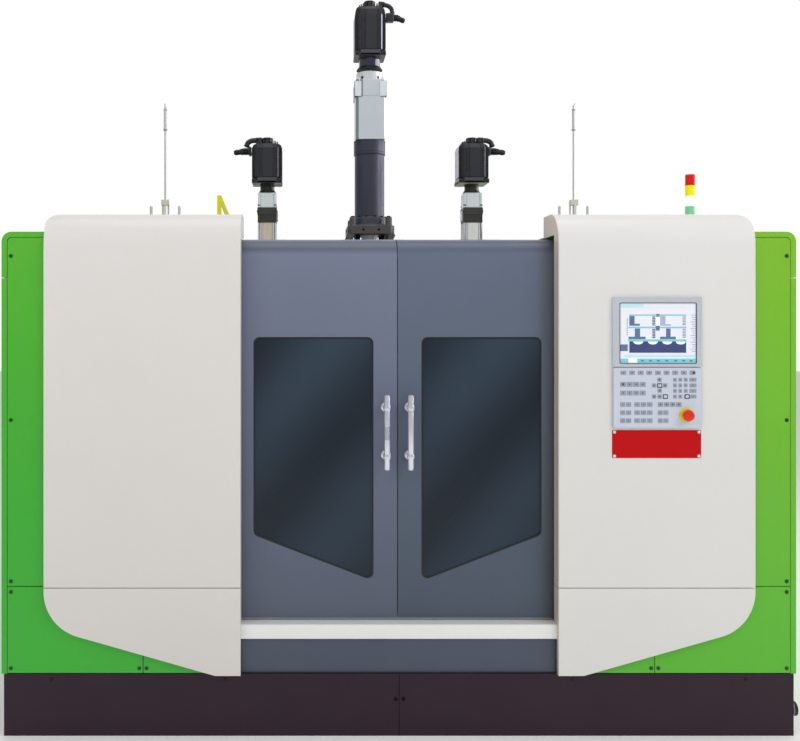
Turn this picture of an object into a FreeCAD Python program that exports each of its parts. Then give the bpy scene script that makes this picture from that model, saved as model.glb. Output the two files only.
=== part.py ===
import FreeCAD, Part

import math
import os

import Sketcher

# Blow moulding machine: two shuttle clamps and an extruder in a cabinet with a pair of
# sliding doors, and a row of vertical drives that stand out of its open roof.
# Millimetres. x points to the right as seen from the front, y to the rear, z up.
# The origin is on the floor, under the middle of the row of drives.

SIZES = {
    # cabinet
    "cabinet_width": 3200,
    "front_reach": 1640,  # from the row of drives to the front of the cream covers
    "back_reach": 1500,  # from the row of drives to the rear cover
    "roof_height": 2030,
    "skin": 3,  # sheet of the covers
    "seam_height": 600,  # where upper and lower covers meet
    "seam_gap": 3,
    "post_width": 80,
    # plinth
    "plinth_inset": 10,  # plinth inside the cabinet, on each side
    "plinth_height": 250,
    "plinth_rear_inset": 20,
    "plinth_wall": 10,
    "stub_diameter": 58,
    "stub_reach": 34,
    # green cladding
    "panel_inset": 26,  # front panels behind the cream covers
    "panel_depth": 20,
    "return_width": 22,  # front edge strip of the side covers
    "roof_wrap_height": 1846,
    "roof_corner_radius": 40,
    "roof_inner_edge": 650,
    "beam_slot": 8,  # gap round the crosshead where it passes through the roof
    "upper_panel_width": 276,
    "lower_panel_split": 1030,
    # cream front covers
    "cover_inner": 636,
    "cover_side_inset": 176,  # cream covers inside the cabinet's side
    "cover_height": 2110,
    "cover_depth": 237,
    "cover_roll_radius": 130,
    "cover_corner_radius": 50,
    "jamb_depth": 68,
    "door_pass_height": 2020,
    "lower_cover_flat": 738,
    "lower_cover_corner": 445,
    "lower_cover_radius": 187,
    # sill and kick panel
    "sill_inset": 24,
    "sill_depth": 116,
    "sill_bottom": 389,
    "sill_top": 448,
    "sill_wall": 4,
    "sill_edge_radius": 6,
    "kick_inset": 40,
    # sliding doors
    "door_setback": 80,
    "door_depth": 40,
    "door_bottom": 460,
    "door_top": 2010,
    "door_outer": 666,
    "door_middle_gap": 3,
    "door_roll_radius": 90,
    "door_roll_depth": 110,
    "door_roll_height": 56,
    "window_top": 1605,
    "window_inner": 98,
    "window_outer": 588,
    "window_inner_bottom": 609,
    "window_outer_bottom": 797,
    "window_corner": 25,
    "pane_thickness": 6,
    "pane_lap": 15,
    "handle_offset": 48,
    "handle_height": 1217,
    "handle_length": 305,
    "handle_diameter": 22,
    "handle_spacing": 200,
    "handle_reach": 62,
    "rosette_diameter": 34,
    "rosette_thickness": 8,
    # door tracks
    "guide_thickness": 10,
    "guide_inset": 95,
    "guide_depth": 27,
    "guide_clearance": 2,
    "rail_height": 30,
    "rail_thickness": 20,
    "rail_bottom": 1885,
    "rail_end_gap": 310,  # from the door tracks to the cabinet's side
    "block_clearance": 0.5,
    "hanger_width": 90,
    # frame
    "lintel_setback": 200,  # behind the front of the cream covers
    "lintel_height": 80,
    "lintel_bottom": 1860,
    "inner_post_reach": 660,
    "frame_wall": 6,
    "crosshead_wall": 10,
    "portal_inset": 250,  # from the portal posts to the cabinet's side
    "portal_width": 100,
    "beam_inner": 120,
    "beam_width": 120,
    "crosshead_height": 180,
    "crosshead_top": 2100,
    "station_plate": 20,
    "column_diameter": 60,
    "column_reach": 330,
    "front_column": 420,
    "rear_column": 1300,
    # machine bed and shuttle rails
    "bed_end_gap": 10,
    "bed_half_depth": 330,
    "bed_height": 650,
    "bed_wall": 12,
    "shuttle_rail_width": 30,
    "shuttle_rail_height": 40,
    "shuttle_rail_inset": 90,
    "shuttle_rail_offset": 200,
    # carriages
    "carriage_inner": 240,
    "carriage_outer": 640,
    "carriage_half_depth": 300,
    "carriage_thickness": 35,
    "carriage_clearance": 0.5,
    "shoe_width": 80,
    "shoe_length": 120,
    "clamp_rail_height": 20,
    "clamp_rail_width": 20,
    "clamp_rail_outer": 420,
    # clamps
    "mould_half": 100,  # from the clamp's middle to a closed platen
    "platen_thickness": 45,
    "platen_half_depth": 225,
    "platen_bottom": 760,
    "platen_top": 1190,
    "end_plate_inner": 340,
    "tie_diameter": 50,
    "tie_inset": 45,
    "tie_clearance": 0.3,
    "nut_width": 75,
    "nut_thickness": 25,
    "cylinder_diameter": 150,
    "cylinder_length": 240,
    "cylinder_flange": 190,
    "flange_thickness": 25,
    "piston_rod": 50,
    "rod_lap": 70,  # of the closed clamp's rod in its cylinder
    # synchronising gear of the clamps
    "gear_module": 5,
    "gear_teeth": 16,
    "gear_width": 25,
    "gear_height": 850,
    "gear_backlash": 0.4,
    "rack_gap": 5,
    "rack_back": 15,
    "rack_reach": 115,
    "gear_pin": 25,
    "bracket_width": 50,
    "bracket_thickness": 20,
    # side drive stacks and blow heads
    "stack_width": 104,
    "stack_profile_top": 2232,
    "stack_block_width": 110,
    "stack_block_top": 2318,
    "stack_housing_top": 2402,
    "stack_neck": 72,
    "motor_bottom": 2435,
    "motor_width": 170,
    "motor_height": 262,
    "motor_flange": 16,
    "motor_cap_diameter": 118,
    "motor_cap_height": 20,
    "fin_gap": 9,
    "fin_depth": 11,
    "connector_diameter": 34,
    "connector_reach": 62,
    "blow_rod": 40,
    "blow_guide": 30,
    "blow_guide_offset": 82,
    "blow_plate_bottom": 1560,
    "blow_plate_thickness": 40,
    "blow_plate_width": 200,
    "blow_plate_depth": 240,
    "blow_guide_drop": 220,  # guide rods below the raised plate
    "blow_rod_margin": 20,  # rod's top end inside the stack
    "pin_diameter": 24,
    "pin_spacing": 90,
    "pin_bottom": 1330,
    # centre drive stack
    "lift_flange_width": 270,
    "lift_flange_top": 2215,
    "lift_ring_diameter": 233,
    "lift_ring_top": 2273,
    "lift_tube_diameter": 168,
    "lift_tube_top": 2630,
    "lift_collar_diameter": 179,
    "lift_collar_top": 2709,
    "lift_rod": 60,
    "gear_housing_width": 163,
    "gear_housing_top": 3061,
    "lug_height": 76,
    "lug_drop": 30,
    "coupling_diameter": 145,
    "coupling_top": 3098,
    "adapter_diameter": 120,
    "lift_motor_bottom": 3150,
    "lift_motor_width": 174,
    "lift_motor_height": 322,
    # trim units
    "trim_inset": 190,  # from the trim units to the portal posts
    "trim_post_offset": 80,
    "trim_post_diameter": 16,
    "trim_post_top": 2330,
    "trim_leg_top": 2336,
    "trim_leg_diameter": 10,
    "trim_block_width": 42,
    "trim_block_height": 30,
    "trim_spindle": 12,
    "trim_spindle_top": 2900,
    "trim_sleeve": 18,
    "trim_sleeve_bottom": 2764,
    "trim_sleeve_top": 2878,
    "trim_plate_bottom": 1600,
    "trim_plate_thickness": 30,
    "trim_plate_width": 220,
    "trim_plate_depth": 200,
    "trim_tool_diameter": 50,
    "trim_tool_bottom": 1400,
    "sliding_clearance": 0.3,
    # extruder
    "platform_bottom": 1290,
    "platform_thickness": 30,
    "platform_half_width": 420,
    "platform_front": 140,
    "platform_rear": 1380,
    "platform_neck": 220,
    "yoke_clearance": 60,  # over the die head
    "bush_diameter": 100,
    "bush_height": 60,
    "stop_height": 30,
    "column_clearance": 6,  # round the columns in the platform's plate
    "lift_rod_margin": 330,  # rod's top end inside the lift cylinder's tube
    "front_saddle": 330,
    "saddle_width": 140,
    "saddle_thickness": 50,
    "head_diameter": 180,
    "head_drop": 60,  # of the die under the platform
    "head_rise": 70,  # of the head over the barrel's axis
    "barrel_rise": 110,  # of the barrel's axis over the platform
    "barrel_diameter": 110,
    "barrel_rear": 1060,
    "heater_diameter": 150,
    "heater_width": 90,
    "heater_front": 190,
    "heater_pitch": 115,
    "heater_break": 75,
    "hopper_cone": 220,
    "hopper_middle": 900,
    "hopper_width": 300,
    "hopper_top": 2090,
    "gearbox_width": 340,
    "gearbox_depth": 250,
    "gearbox_height": 300,
    "drive_motor_diameter": 200,
    "drive_motor_height": 330,
    # operator panel
    "panel_left": 850,
    "panel_right": 1206,
    "panel_bottom": 1242,
    "panel_top": 1766,
    "panel_split": 1486,
    "panel_proud": 12,
    "panel_box_depth": 68,
    "panel_rim": 20,
    "panel_clearance": 1,
    "screen_left": 879,
    "screen_right": 1182,
    "screen_bottom": 1502,
    "screen_top": 1741,
    "screen_recess": 3,
    "keypad_thickness": 2,
    "estop_x": 1142,
    "estop_z": 1295,
    "estop_head": 45,
    "estop_collar": 54,
    "estop_collar_depth": 8,
    "estop_stem": 22,
    "estop_travel": 5,
    "sign_bottom": 1122,
    "sign_top": 1234,
    "sign_thickness": 2,
    # signal tower and lug
    "tower_x": 1364,
    "tower_setback": 500,
    "tower_diameter": 45,
    "tower_foot_top": 2142,
    "lens_height": 47,
    "lens_gap": 1,
    "lug_thickness": 12,
    "lug_x": 838,
    "lug_top": 2366,
    "lug_spread": 100,
    "lug_width": 16,
    # rear cover
    "louvre_length": 320,
    "louvre_height": 14,
    "louvre_pitch": 60,
    "louvre_bottom": 520,
    "louvre_break": 640,
}

SHEET = "Sizes"

doc = FreeCAD.newDocument("BlowMouldingMachine")
sheet = doc.addObject("Spreadsheet::Sheet", SHEET)
for row, (alias, value) in enumerate(SIZES.items(), start=1):
    sheet.set(f"A{row}", alias)
    sheet.set(f"B{row}", str(value))
    sheet.setAlias(f"B{row}", alias)
doc.recompute()


# ---------------------------------------------------------------- sizes as expressions


class Size:
    """A length as an expression over the sheet, together with what it comes to."""

    def __init__(self, text, number):
        self.text = text
        self.number = number

    def join(self, sign, other, number):
        return Size(f"({self.text} {sign} {as_size(other).text})", number)

    def __add__(self, other):
        return self.join("+", other, self.number + as_size(other).number)

    def __sub__(self, other):
        return self.join("-", other, self.number - as_size(other).number)

    def __mul__(self, other):
        return self.join("*", other, self.number * as_size(other).number)

    def __truediv__(self, other):
        return self.join("/", other, self.number / as_size(other).number)

    def __radd__(self, other):
        return as_size(other) + self

    def __rsub__(self, other):
        return as_size(other) - self

    def __rmul__(self, other):
        return as_size(other) * self

    def __neg__(self):
        return as_size(0) - self


def as_size(value):
    """A plain number as a Size; a Size stays as it is."""
    if isinstance(value, Size):
        return value
    return Size(f"({value})", float(value))


def size(alias):
    """The driving dimension of that name."""
    return Size(f"{SHEET}.{alias}", float(SIZES[alias]))


def bind(thing, prop, value):
    """Drive a property of thing by a Size."""
    thing.setExpression(prop, as_size(value).text)


def place(thing, x=0, y=0, z=0):
    """Drive the position of thing, and leave its rotation."""
    for axis, value in zip("xyz", (x, y, z)):
        bind(thing, f"Placement.Base.{axis}", value)
    return thing


def in_order(a, b):
    """Two sizes, the smaller first."""
    a = as_size(a)
    b = as_size(b)
    return (a, b) if a.number <= b.number else (b, a)


# ---------------------------------------------------------------- primitives

AXIS_TURNS = {
    "z": FreeCAD.Rotation(),
    "x": FreeCAD.Rotation(FreeCAD.Vector(0, 1, 0), 90),
    "-x": FreeCAD.Rotation(FreeCAD.Vector(0, 1, 0), -90),
    "y": FreeCAD.Rotation(FreeCAD.Vector(1, 0, 0), -90),
    "-y": FreeCAD.Rotation(FreeCAD.Vector(1, 0, 0), 90),
}
SIDES = {"left": -1, "right": 1}

node_shapes = {}


def box(name, x, y, z):
    """A block over three ranges, each a pair of sizes in either order."""
    block = doc.addObject("Part::Box", name)
    lows = []
    for prop, ends in zip(("Length", "Width", "Height"), (x, y, z)):
        low, high = in_order(*ends)
        bind(block, prop, high - low)
        lows.append(low)
    return place(block, *lows)


def bar(name, axis, length, diameter, x=0, y=0, z=0):
    """A round bar of that length, from the point x, y, z along axis."""
    rod = doc.addObject("Part::Cylinder", name)
    bind(rod, "Radius", as_size(diameter) / 2)
    bind(rod, "Height", length)
    rod.Placement = FreeCAD.Placement(FreeCAD.Vector(), AXIS_TURNS[axis])
    return place(rod, x, y, z)


def tube(name, x, y, z, wall):
    """A closed square tube over three ranges."""
    ranges = [in_order(*ends) for ends in (x, y, z)]
    hollow = [(low + wall, high - wall) for low, high in ranges]
    return cut(f"{name}Tube", box(name, *ranges), box(f"{name}Hollow", *hollow))


def upright(name, diameter, z, x=0, y=0):
    """A round bar along z between two heights."""
    low, high = in_order(*z)
    return bar(name, "z", high - low, diameter, x, y, low)


def cut(name, base, *tools):
    """base without the tools."""
    result = doc.addObject("Part::Cut", name)
    result.Base = base
    result.Tool = tools[0] if len(tools) == 1 else group(f"{name}_tools", *tools)
    return result


def fuse(name, *shapes):
    """Shapes joined into one solid."""
    result = doc.addObject("Part::MultiFuse", name)
    result.Shapes = list(shapes)
    return result


def group(name, *shapes):
    """Separate solids that are welded or bolted face to face."""
    result = doc.addObject("Part::Compound", name)
    result.Links = list(shapes)
    return result


def part(node, shape):
    """Name a finished sub-part."""
    shape.Label = node
    node_shapes[node] = shape
    return shape


# ---------------------------------------------------------------- bodies from sketches


def new_body(name):
    return doc.addObject("PartDesign::Body", name)


def sketch(body, plane, outline, name):
    """A closed outline of sizes on one of the body's own origin planes."""
    drawing = body.newObject("Sketcher::SketchObject", name)
    origin = [f for f in body.Origin.OriginFeatures if f.Role == plane][0]
    drawing.AttachmentSupport = (origin, "")
    drawing.MapMode = "FlatFace"
    corners = [(as_size(u), as_size(v)) for u, v in outline]
    points = [FreeCAD.Vector(u.number, v.number, 0) for u, v in corners]
    count = len(points)
    for i in range(count):
        drawing.addGeometry(Part.LineSegment(points[i], points[(i + 1) % count]), False)
    for i in range(count):
        drawing.addConstraint(Sketcher.Constraint("Coincident", i, 2, (i + 1) % count, 1))
    for i, (u, v) in enumerate(corners):
        for kind, value in (("DistanceX", u), ("DistanceY", v)):
            rule = drawing.addConstraint(Sketcher.Constraint(kind, -1, 1, i, 1, value.number))
            bind(drawing, f"Constraints[{rule}]", value)
    return drawing


def pad(body, plane, outline, length, reverse=False, name="Pad"):
    """An outline on a plane, raised by length; reverse raises it the other way."""
    feature = body.newObject("PartDesign::Pad", f"{body.Name}_{name}")
    feature.Profile = sketch(body, plane, outline, f"{body.Name}_{name}_Sketch")
    bind(feature, "Length", length)
    feature.Reversed = reverse
    doc.recompute()
    return feature


def lies_at(item, where):
    """Whether an edge or face lies wholly at the given coordinates."""
    bounds = item.BoundBox
    for axis, value in where.items():
        number = as_size(value).number
        low = getattr(bounds, f"{axis.upper()}Min")
        high = getattr(bounds, f"{axis.upper()}Max")
        if max(abs(low - number), abs(high - number)) > 0.01:
            return False
    return True


def edges_at(feature, *places):
    """Names of the feature's edges that lie at any of the places, such as {"x": 5, "z": 0}."""
    return [
        f"Edge{i}"
        for i, edge in enumerate(feature.Shape.Edges, start=1)
        if any(lies_at(edge, where) for where in places)
    ]


def faces_at(feature, *places):
    """Names of the feature's faces that lie at any of the places."""
    return [
        f"Face{i}"
        for i, face in enumerate(feature.Shape.Faces, start=1)
        if any(lies_at(face, where) for where in places)
    ]


def fillet(body, feature, radius, *places, name="Fillet"):
    """Round the feature's edges at the places."""
    rounding = body.newObject("PartDesign::Fillet", f"{body.Name}_{name}")
    rounding.Base = (feature, edges_at(feature, *places))
    bind(rounding, "Radius", radius)
    doc.recompute()
    return rounding


def chamfer(body, feature, width, *places, name="Chamfer"):
    """Bevel the feature's edges at the places."""
    bevel = body.newObject("PartDesign::Chamfer", f"{body.Name}_{name}")
    bevel.Base = (feature, edges_at(feature, *places))
    bind(bevel, "Size", width)
    doc.recompute()
    return bevel


def shell(body, feature, thickness, *open_faces):
    """Hollow the feature inwards and leave out the faces at the places."""
    hollow = body.newObject("PartDesign::Thickness", f"{body.Name}_Shell")
    hollow.Base = (feature, faces_at(feature, *open_faces))
    bind(hollow, "Value", thickness)
    hollow.Reversed = True
    hollow.Join = 1
    doc.recompute()
    return hollow


def rectangle(x, y):
    """The four corners of a rectangle over two ranges."""
    return [(x[0], y[0]), (x[1], y[0]), (x[1], y[1]), (x[0], y[1])]


# ---------------------------------------------------------------- shared places

half_width = size("cabinet_width") / 2
front = -size("front_reach")
back = size("back_reach")
skin = size("skin")
roof = size("roof_height")
seam = size("seam_height")
seam_gap = size("seam_gap")
plinth_top = size("plinth_height")
panel_front = front + size("panel_inset")
panel_back = panel_front + size("panel_depth")
post = size("post_width")
door_front = front + size("door_setback")
cover_outer = half_width - size("cover_side_inset")
upper_panel_inner = half_width - size("return_width") - 2 - size("upper_panel_width")
lintel_front = front + size("lintel_setback")
portal_reach = half_width - size("portal_inset")
bed_reach = portal_reach - size("bed_end_gap")
trim_pitch = portal_reach - size("trim_inset")
pitch = trim_pitch / 2
crosshead_top = size("crosshead_top")
plate_top = crosshead_top + size("station_plate")
slide = size("sliding_clearance")


# ---------------------------------------------------------------- plinth


def plinth():
    """Hollow welded base, with the stub of the cooling pipe at its right end."""
    wall = size("plinth_wall")
    reach = half_width - size("plinth_inset")
    x = (-reach, reach)
    y = (panel_front, back - size("plinth_rear_inset"))
    outer = box("PlinthOuter", x, y, (0, plinth_top))
    inner = box(
        "PlinthInner",
        (x[0] + wall, x[1] - wall),
        (y[0] + wall, y[1] - wall),
        (wall, plinth_top - wall),
    )
    stub_y = y[0] + size("stub_diameter")
    stub = bar("PipeStub", "x", size("stub_reach"), size("stub_diameter"), reach, stub_y, 88)
    part("plinth", group("PlinthParts", cut("PlinthShell", outer, inner), stub))


# ---------------------------------------------------------------- frame and bed


def station_plate(name, x, half, holes):
    """Plate across the crosshead beams, with a hole for each (x, y, diameter)."""
    depth = size("beam_inner") + size("beam_width")
    plate = box(name, (x - half, x + half), (-depth, depth), (crosshead_top, plate_top))
    bores = [
        upright(f"{name}Bore{i}", diameter, (crosshead_top - 1, plate_top + 1), x + dx, dy)
        for i, (dx, dy, diameter) in enumerate(holes)
    ]
    return cut(f"{name}Bored", plate, *bores)


def lifting_lug():
    """Yellow lug on the front crosshead beam, bent to a narrow upside-down V."""
    x = -size("lug_x")
    width = size("lug_width")
    top = size("lug_top")
    spread = size("lug_spread")
    body = new_body("LiftingLug")
    outline = [
        (x - width / 2, crosshead_top),
        (x - width / 2, top),
        (x + width / 2, top),
        (x + spread + width, crosshead_top),
        (x + spread - width / 2, crosshead_top),
        (x + width / 2, top - width * 3),
        (x + width / 2, crosshead_top),
    ]
    pad(body, "XZ_Plane", outline, size("lug_thickness"))
    return place(body, 0, -size("beam_inner") - size("beam_width") / 2)


def main_frame():
    """Welded frame: posts, side beams, lintel, crosshead, station plates and guide columns."""
    solids = []
    wall = size("frame_wall")
    post_outer = half_width - size("roof_corner_radius")
    front_post = panel_back
    rear_post = back - size("panel_depth") - post
    beam_bottom = size("crosshead_top") - size("crosshead_height")
    roof_frame = (roof - skin - post, roof - skin)
    lintel = (lintel_front, lintel_front + size("lintel_height"))
    lintel_top = size("lintel_bottom") + size("lintel_height")
    portal = (portal_reach, portal_reach + size("portal_width"))
    beams_y = (size("beam_inner"), size("beam_inner") + size("beam_width"))
    columns_x = size("column_reach")
    for side_name, side in SIDES.items():
        tag = f"Frame_{side_name}"
        posts_x = (side * (post_outer - post), side * post_outer)
        post_z = (plinth_top, roof_frame[1])
        for row_name, row_y in (("Front", front_post), ("Rear", rear_post)):
            solids.append(tube(f"{tag}Post{row_name}", posts_x, (row_y, row_y + post), post_z, wall))
        solids.append(tube(f"{tag}SideBeam", posts_x, (front_post + post, rear_post), roof_frame, wall))
        inner_x = (side * size("inner_post_reach"), side * (size("inner_post_reach") + post))
        solids.append(tube(f"{tag}InnerPost", inner_x, lintel, (plinth_top, size("lintel_bottom")), wall))
        door_beam_y = (front + size("jamb_depth") + 2, front + size("sill_inset") + size("sill_depth"))
        door_beam_x = (side * size("cover_inner"), posts_x[0])
        door_beam_z = (size("sill_bottom"), size("sill_top"))
        solids.append(tube(f"{tag}DoorBeam", door_beam_x, door_beam_y, door_beam_z, wall))
        portal_x = (side * portal[0], side * portal[1])
        for row_name, row in (("Front", -1), ("Rear", 1)):
            leg_y = (row * (size("beam_inner") + 10), row * (size("beam_inner") + 110))
            solids.append(tube(f"{tag}Portal{row_name}", portal_x, leg_y, (plinth_top, beam_bottom), wall))
        tie_x = (side * (columns_x - post / 2), side * (columns_x + post / 2))
        tie_y = (beams_y[1], size("rear_column") + size("column_diameter"))
        solids.append(tube(f"{tag}ColumnTie", tie_x, tie_y, roof_frame, wall))
        for row_name, column_y in (("Front", size("front_column")), ("Rear", size("rear_column"))):
            x = side * columns_x
            column_z = (plinth_top, roof_frame[0])
            column = upright(f"{tag}Column{row_name}", size("column_diameter"), column_z, x, column_y)
            stop_top = size("platform_bottom")
            stop_z = (stop_top - size("stop_height"), stop_top)
            stop = upright(f"{tag}Stop{row_name}", size("bush_diameter") - 8, stop_z, x, column_y)
            solids.append(fuse(f"{tag}StoppedColumn{row_name}", column, stop))
    solids.append(
        tube("Lintel", (-post_outer, post_outer), lintel, (size("lintel_bottom"), lintel_top), wall)
    )
    for row_name, row in (("Front", -1), ("Rear", 1)):
        beam_y = (row * beams_y[0], row * beams_y[1])
        solids.append(
            tube(
                f"Crosshead{row_name}",
                (-portal[1], portal[1]),
                beam_y,
                (beam_bottom, crosshead_top),
                size("crosshead_wall"),
            )
        )
    solids.append(station_plate("LiftPlate", as_size(0), as_size(170), [(0, 0, size("lift_rod") + 10)]))
    for side_name, side in SIDES.items():
        blow_x = side * pitch
        solids.append(
            station_plate(f"BlowPlate_{side_name}", blow_x, as_size(110), [(0, 0, size("blow_rod") + 10)])
        )
        post_bore = size("trim_post_diameter") + 2 * slide
        spindle_bore = size("trim_spindle") + 2 * slide
        holes = [
            (0, 0, spindle_bore),
            (-size("trim_post_offset"), 0, post_bore),
            (size("trim_post_offset"), 0, post_bore),
        ]
        solids.append(
            station_plate(f"TrimPlate_{side_name}", side * trim_pitch, as_size(130), holes)
        )
    solids.append(lifting_lug())
    part("main_frame", group("FrameParts", *solids))


def machine_bed():
    """Hollow bed with the two rails that the carriages shuttle on."""
    wall = size("bed_wall")
    x = (-bed_reach, bed_reach)
    y = (-size("bed_half_depth"), size("bed_half_depth"))
    z = (plinth_top, size("bed_height"))
    outer = box("BedOuter", x, y, z)
    inner = box(
        "BedInner", (x[0] + wall, x[1] - wall), (y[0] + wall, y[1] - wall), (z[0] + wall, z[1] - wall)
    )
    rails = []
    half = size("shuttle_rail_width") / 2
    rail_reach = bed_reach - size("shuttle_rail_inset")
    rail_x = (-rail_reach, rail_reach)
    rail_z = (z[1], z[1] + size("shuttle_rail_height"))
    for row in (-1, 1):
        middle = row * size("shuttle_rail_offset")
        rails.append(box("ShuttleRail", rail_x, (middle - half, middle + half), rail_z))
    part("machine_bed", group("BedParts", cut("BedShell", outer, inner), *rails))


# ---------------------------------------------------------------- cladding


def cover_volume(name, side, inset, bottom):
    """Outer form of an upper cream cover, set in by inset: a rolled front and a round corner."""
    x = (size("cover_inner") + inset, cover_outer - inset)
    face = front + inset
    top = size("cover_height") - inset
    rear = front + size("cover_depth") - inset
    side_body = new_body(f"{name}Side")
    outline = [(face, bottom), (rear, bottom), (rear, top), (face, top)]
    raised = pad(side_body, "YZ_Plane", outline, x[1] - x[0])
    fillet(side_body, raised, size("cover_roll_radius") - inset, {"y": face, "z": top})
    place(side_body, x[0] if side > 0 else -x[1])
    front_body = new_body(f"{name}Front")
    outline = rectangle((side * x[0], side * x[1]), (bottom, top))
    raised = pad(front_body, "XZ_Plane", outline, size("cover_depth"))
    fillet(front_body, raised, size("cover_corner_radius") - inset, {"x": side * x[1], "z": top})
    place(front_body, 0, rear)
    common = doc.addObject("Part::MultiCommon", name)
    common.Shapes = [side_body, front_body]
    return common


def front_cover(side_name, side):
    """Cream cover: rolled top, a shallow jamb that the door passes behind, and side returns."""
    name = f"FrontCover_{side_name}"
    bottom = seam + seam_gap
    outer = cover_volume(f"{name}Outer", side, as_size(0), bottom)
    inner = cover_volume(f"{name}Inner", side, skin, bottom - 1)
    rear = front + size("cover_depth") + 1
    middle = (size("cover_inner") + cover_outer) / 2
    door_pass = box(
        f"{name}DoorPass",
        (side * (size("cover_inner") - 1), side * middle),
        (front + size("jamb_depth"), rear),
        (bottom - 1, size("door_pass_height")),
    )
    behind_panel = box(
        f"{name}BehindPanel",
        (side * middle, side * (cover_outer + 1)),
        (panel_front, rear),
        (bottom - 1, roof),
    )
    over_roof = box(
        f"{name}OverRoof",
        (side * (size("cover_inner") + skin), side * (middle + 1)),
        (front + size("jamb_depth"), rear),
        (bottom - 1, roof),
    )
    tools = [inner, door_pass, behind_panel, over_roof]
    if side > 0:
        clear = size("panel_clearance")
        rim = size("panel_rim")
        window = box(
            f"{name}PanelHole",
            (size("panel_left") + rim - clear, size("panel_right") - rim + clear),
            (front - 1, front + skin + 1),
            (size("panel_bottom") + rim - clear, size("panel_top") - rim + clear),
        )
        tools.append(window)
    part(f"{side_name}_front_cover", cut(name, outer, *tools))


def lower_cover(side_name, side):
    """Cream lower cover: flat foot, slanted edge and a large round corner, with a deeper jamb."""
    name = f"LowerCover_{side_name}"
    body = new_body(name)
    inner = side * size("cover_inner")
    outer = side * cover_outer
    outline = [
        (inner, plinth_top),
        (side * size("lower_cover_flat"), plinth_top),
        (outer, size("lower_cover_corner")),
        (outer, seam),
        (inner, seam),
    ]
    raised = pad(body, "XZ_Plane", outline, size("panel_inset"))
    rounded = fillet(
        body, raised, size("lower_cover_radius"), {"x": outer, "z": size("lower_cover_corner")}
    )
    shell(body, rounded, skin, {"y": 0})
    place(body, 0, panel_front)
    jamb = box(
        f"{name}Jamb",
        (inner, inner + side * skin),
        (panel_front, front + size("jamb_depth")),
        (size("sill_top"), seam),
    )
    part(f"{side_name}_front_cover_lower", fuse(f"{name}Parts", body, jamb))


def front_panels(side_name, side):
    """Green front panels: folded trays behind the cream covers."""
    edge = half_width - size("return_width") - 2
    name = f"UpperPanel_{side_name}"
    body = new_body(name)
    top = roof - size("return_width") - 2
    outline = rectangle((side * upper_panel_inner, side * edge), (seam + seam_gap, top))
    raised = pad(body, "XZ_Plane", outline, size("panel_depth"), reverse=True)
    corner = size("roof_corner_radius") - size("return_width")
    rounded = fillet(body, raised, corner, {"x": side * edge, "z": top})
    shell(body, rounded, skin, {"y": size("panel_depth")})
    place(body, 0, panel_front)
    part(f"{side_name}_panel_upper", body)

    name = f"LowerPanel_{side_name}"
    split = size("lower_panel_split")
    trays = []
    spans = ((size("cover_inner") + 4, split - seam_gap / 2), (split + seam_gap / 2, edge))
    for i, (inner, outer) in enumerate(spans):
        x = (side * inner, side * outer)
        outer_box = box(f"{name}Outer{i}", x, (panel_front, panel_back), (plinth_top + 3, seam))
        inner_box = box(
            f"{name}Inner{i}",
            (side * (inner + skin), side * (outer - skin)),
            (panel_front + skin, panel_back + 1),
            (plinth_top + 3 + skin, seam - skin),
        )
        trays.append(cut(f"{name}Tray{i}", outer_box, inner_box))
    part(f"{side_name}_panel_lower", group(f"{name}Parts", *trays))


def side_cover(side_name, side):
    """Green side sheet, folded round at the front and rear, and at its foot on the plinth."""
    name = f"SideCover_{side_name}"
    x = (side * (half_width - size("return_width")), side * half_width)
    z = (plinth_top, size("roof_wrap_height") - seam_gap)
    outer = box(f"{name}Outer", x, (panel_front, back), z)
    inner = box(
        f"{name}Inner",
        (x[0] - side * 1, side * (half_width - skin)),
        (panel_front + skin, back - skin),
        (z[0] + skin, z[1] + 1),
    )
    part(f"{side_name}_side_cover", cut(name, outer, inner))


def roof_cover(side_name, side):
    """Green roof sheet that wraps over the side with a round corner."""
    name = f"RoofCover_{side_name}"
    inner = side * size("roof_inner_edge")
    outer = side * half_width
    low = size("roof_wrap_height")
    body = new_body(name)
    length = back - panel_front
    raised = pad(body, "XZ_Plane", rectangle((inner, outer), (low, roof)), length)
    rounded = fillet(body, raised, size("roof_corner_radius"), {"x": outer, "z": roof})
    shell(body, rounded, skin, {"z": low}, {"x": inner})
    place(body, 0, back)
    opening = new_body(f"{name}Opening")
    strip = size("return_width")
    reach = (inner - side * 1, outer - side * strip)
    raised = pad(opening, "XZ_Plane", rectangle(reach, (low - 1, roof - strip)), length + 2)
    fillet(
        opening, raised, size("roof_corner_radius") - strip, {"x": outer - side * strip, "z": roof - strip}
    )
    place(opening, 0, back + 1)
    beams = size("beam_inner") + size("beam_width") + size("beam_slot")
    beam_end = portal_reach + size("portal_width") + size("beam_slot")
    notch = box(f"{name}Notch", (inner - side * 1, side * beam_end), (-beams, beams), (low, roof + 1))
    part(f"{side_name}_roof_cover", cut(f"{name}Cut", body, opening, notch))


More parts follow.
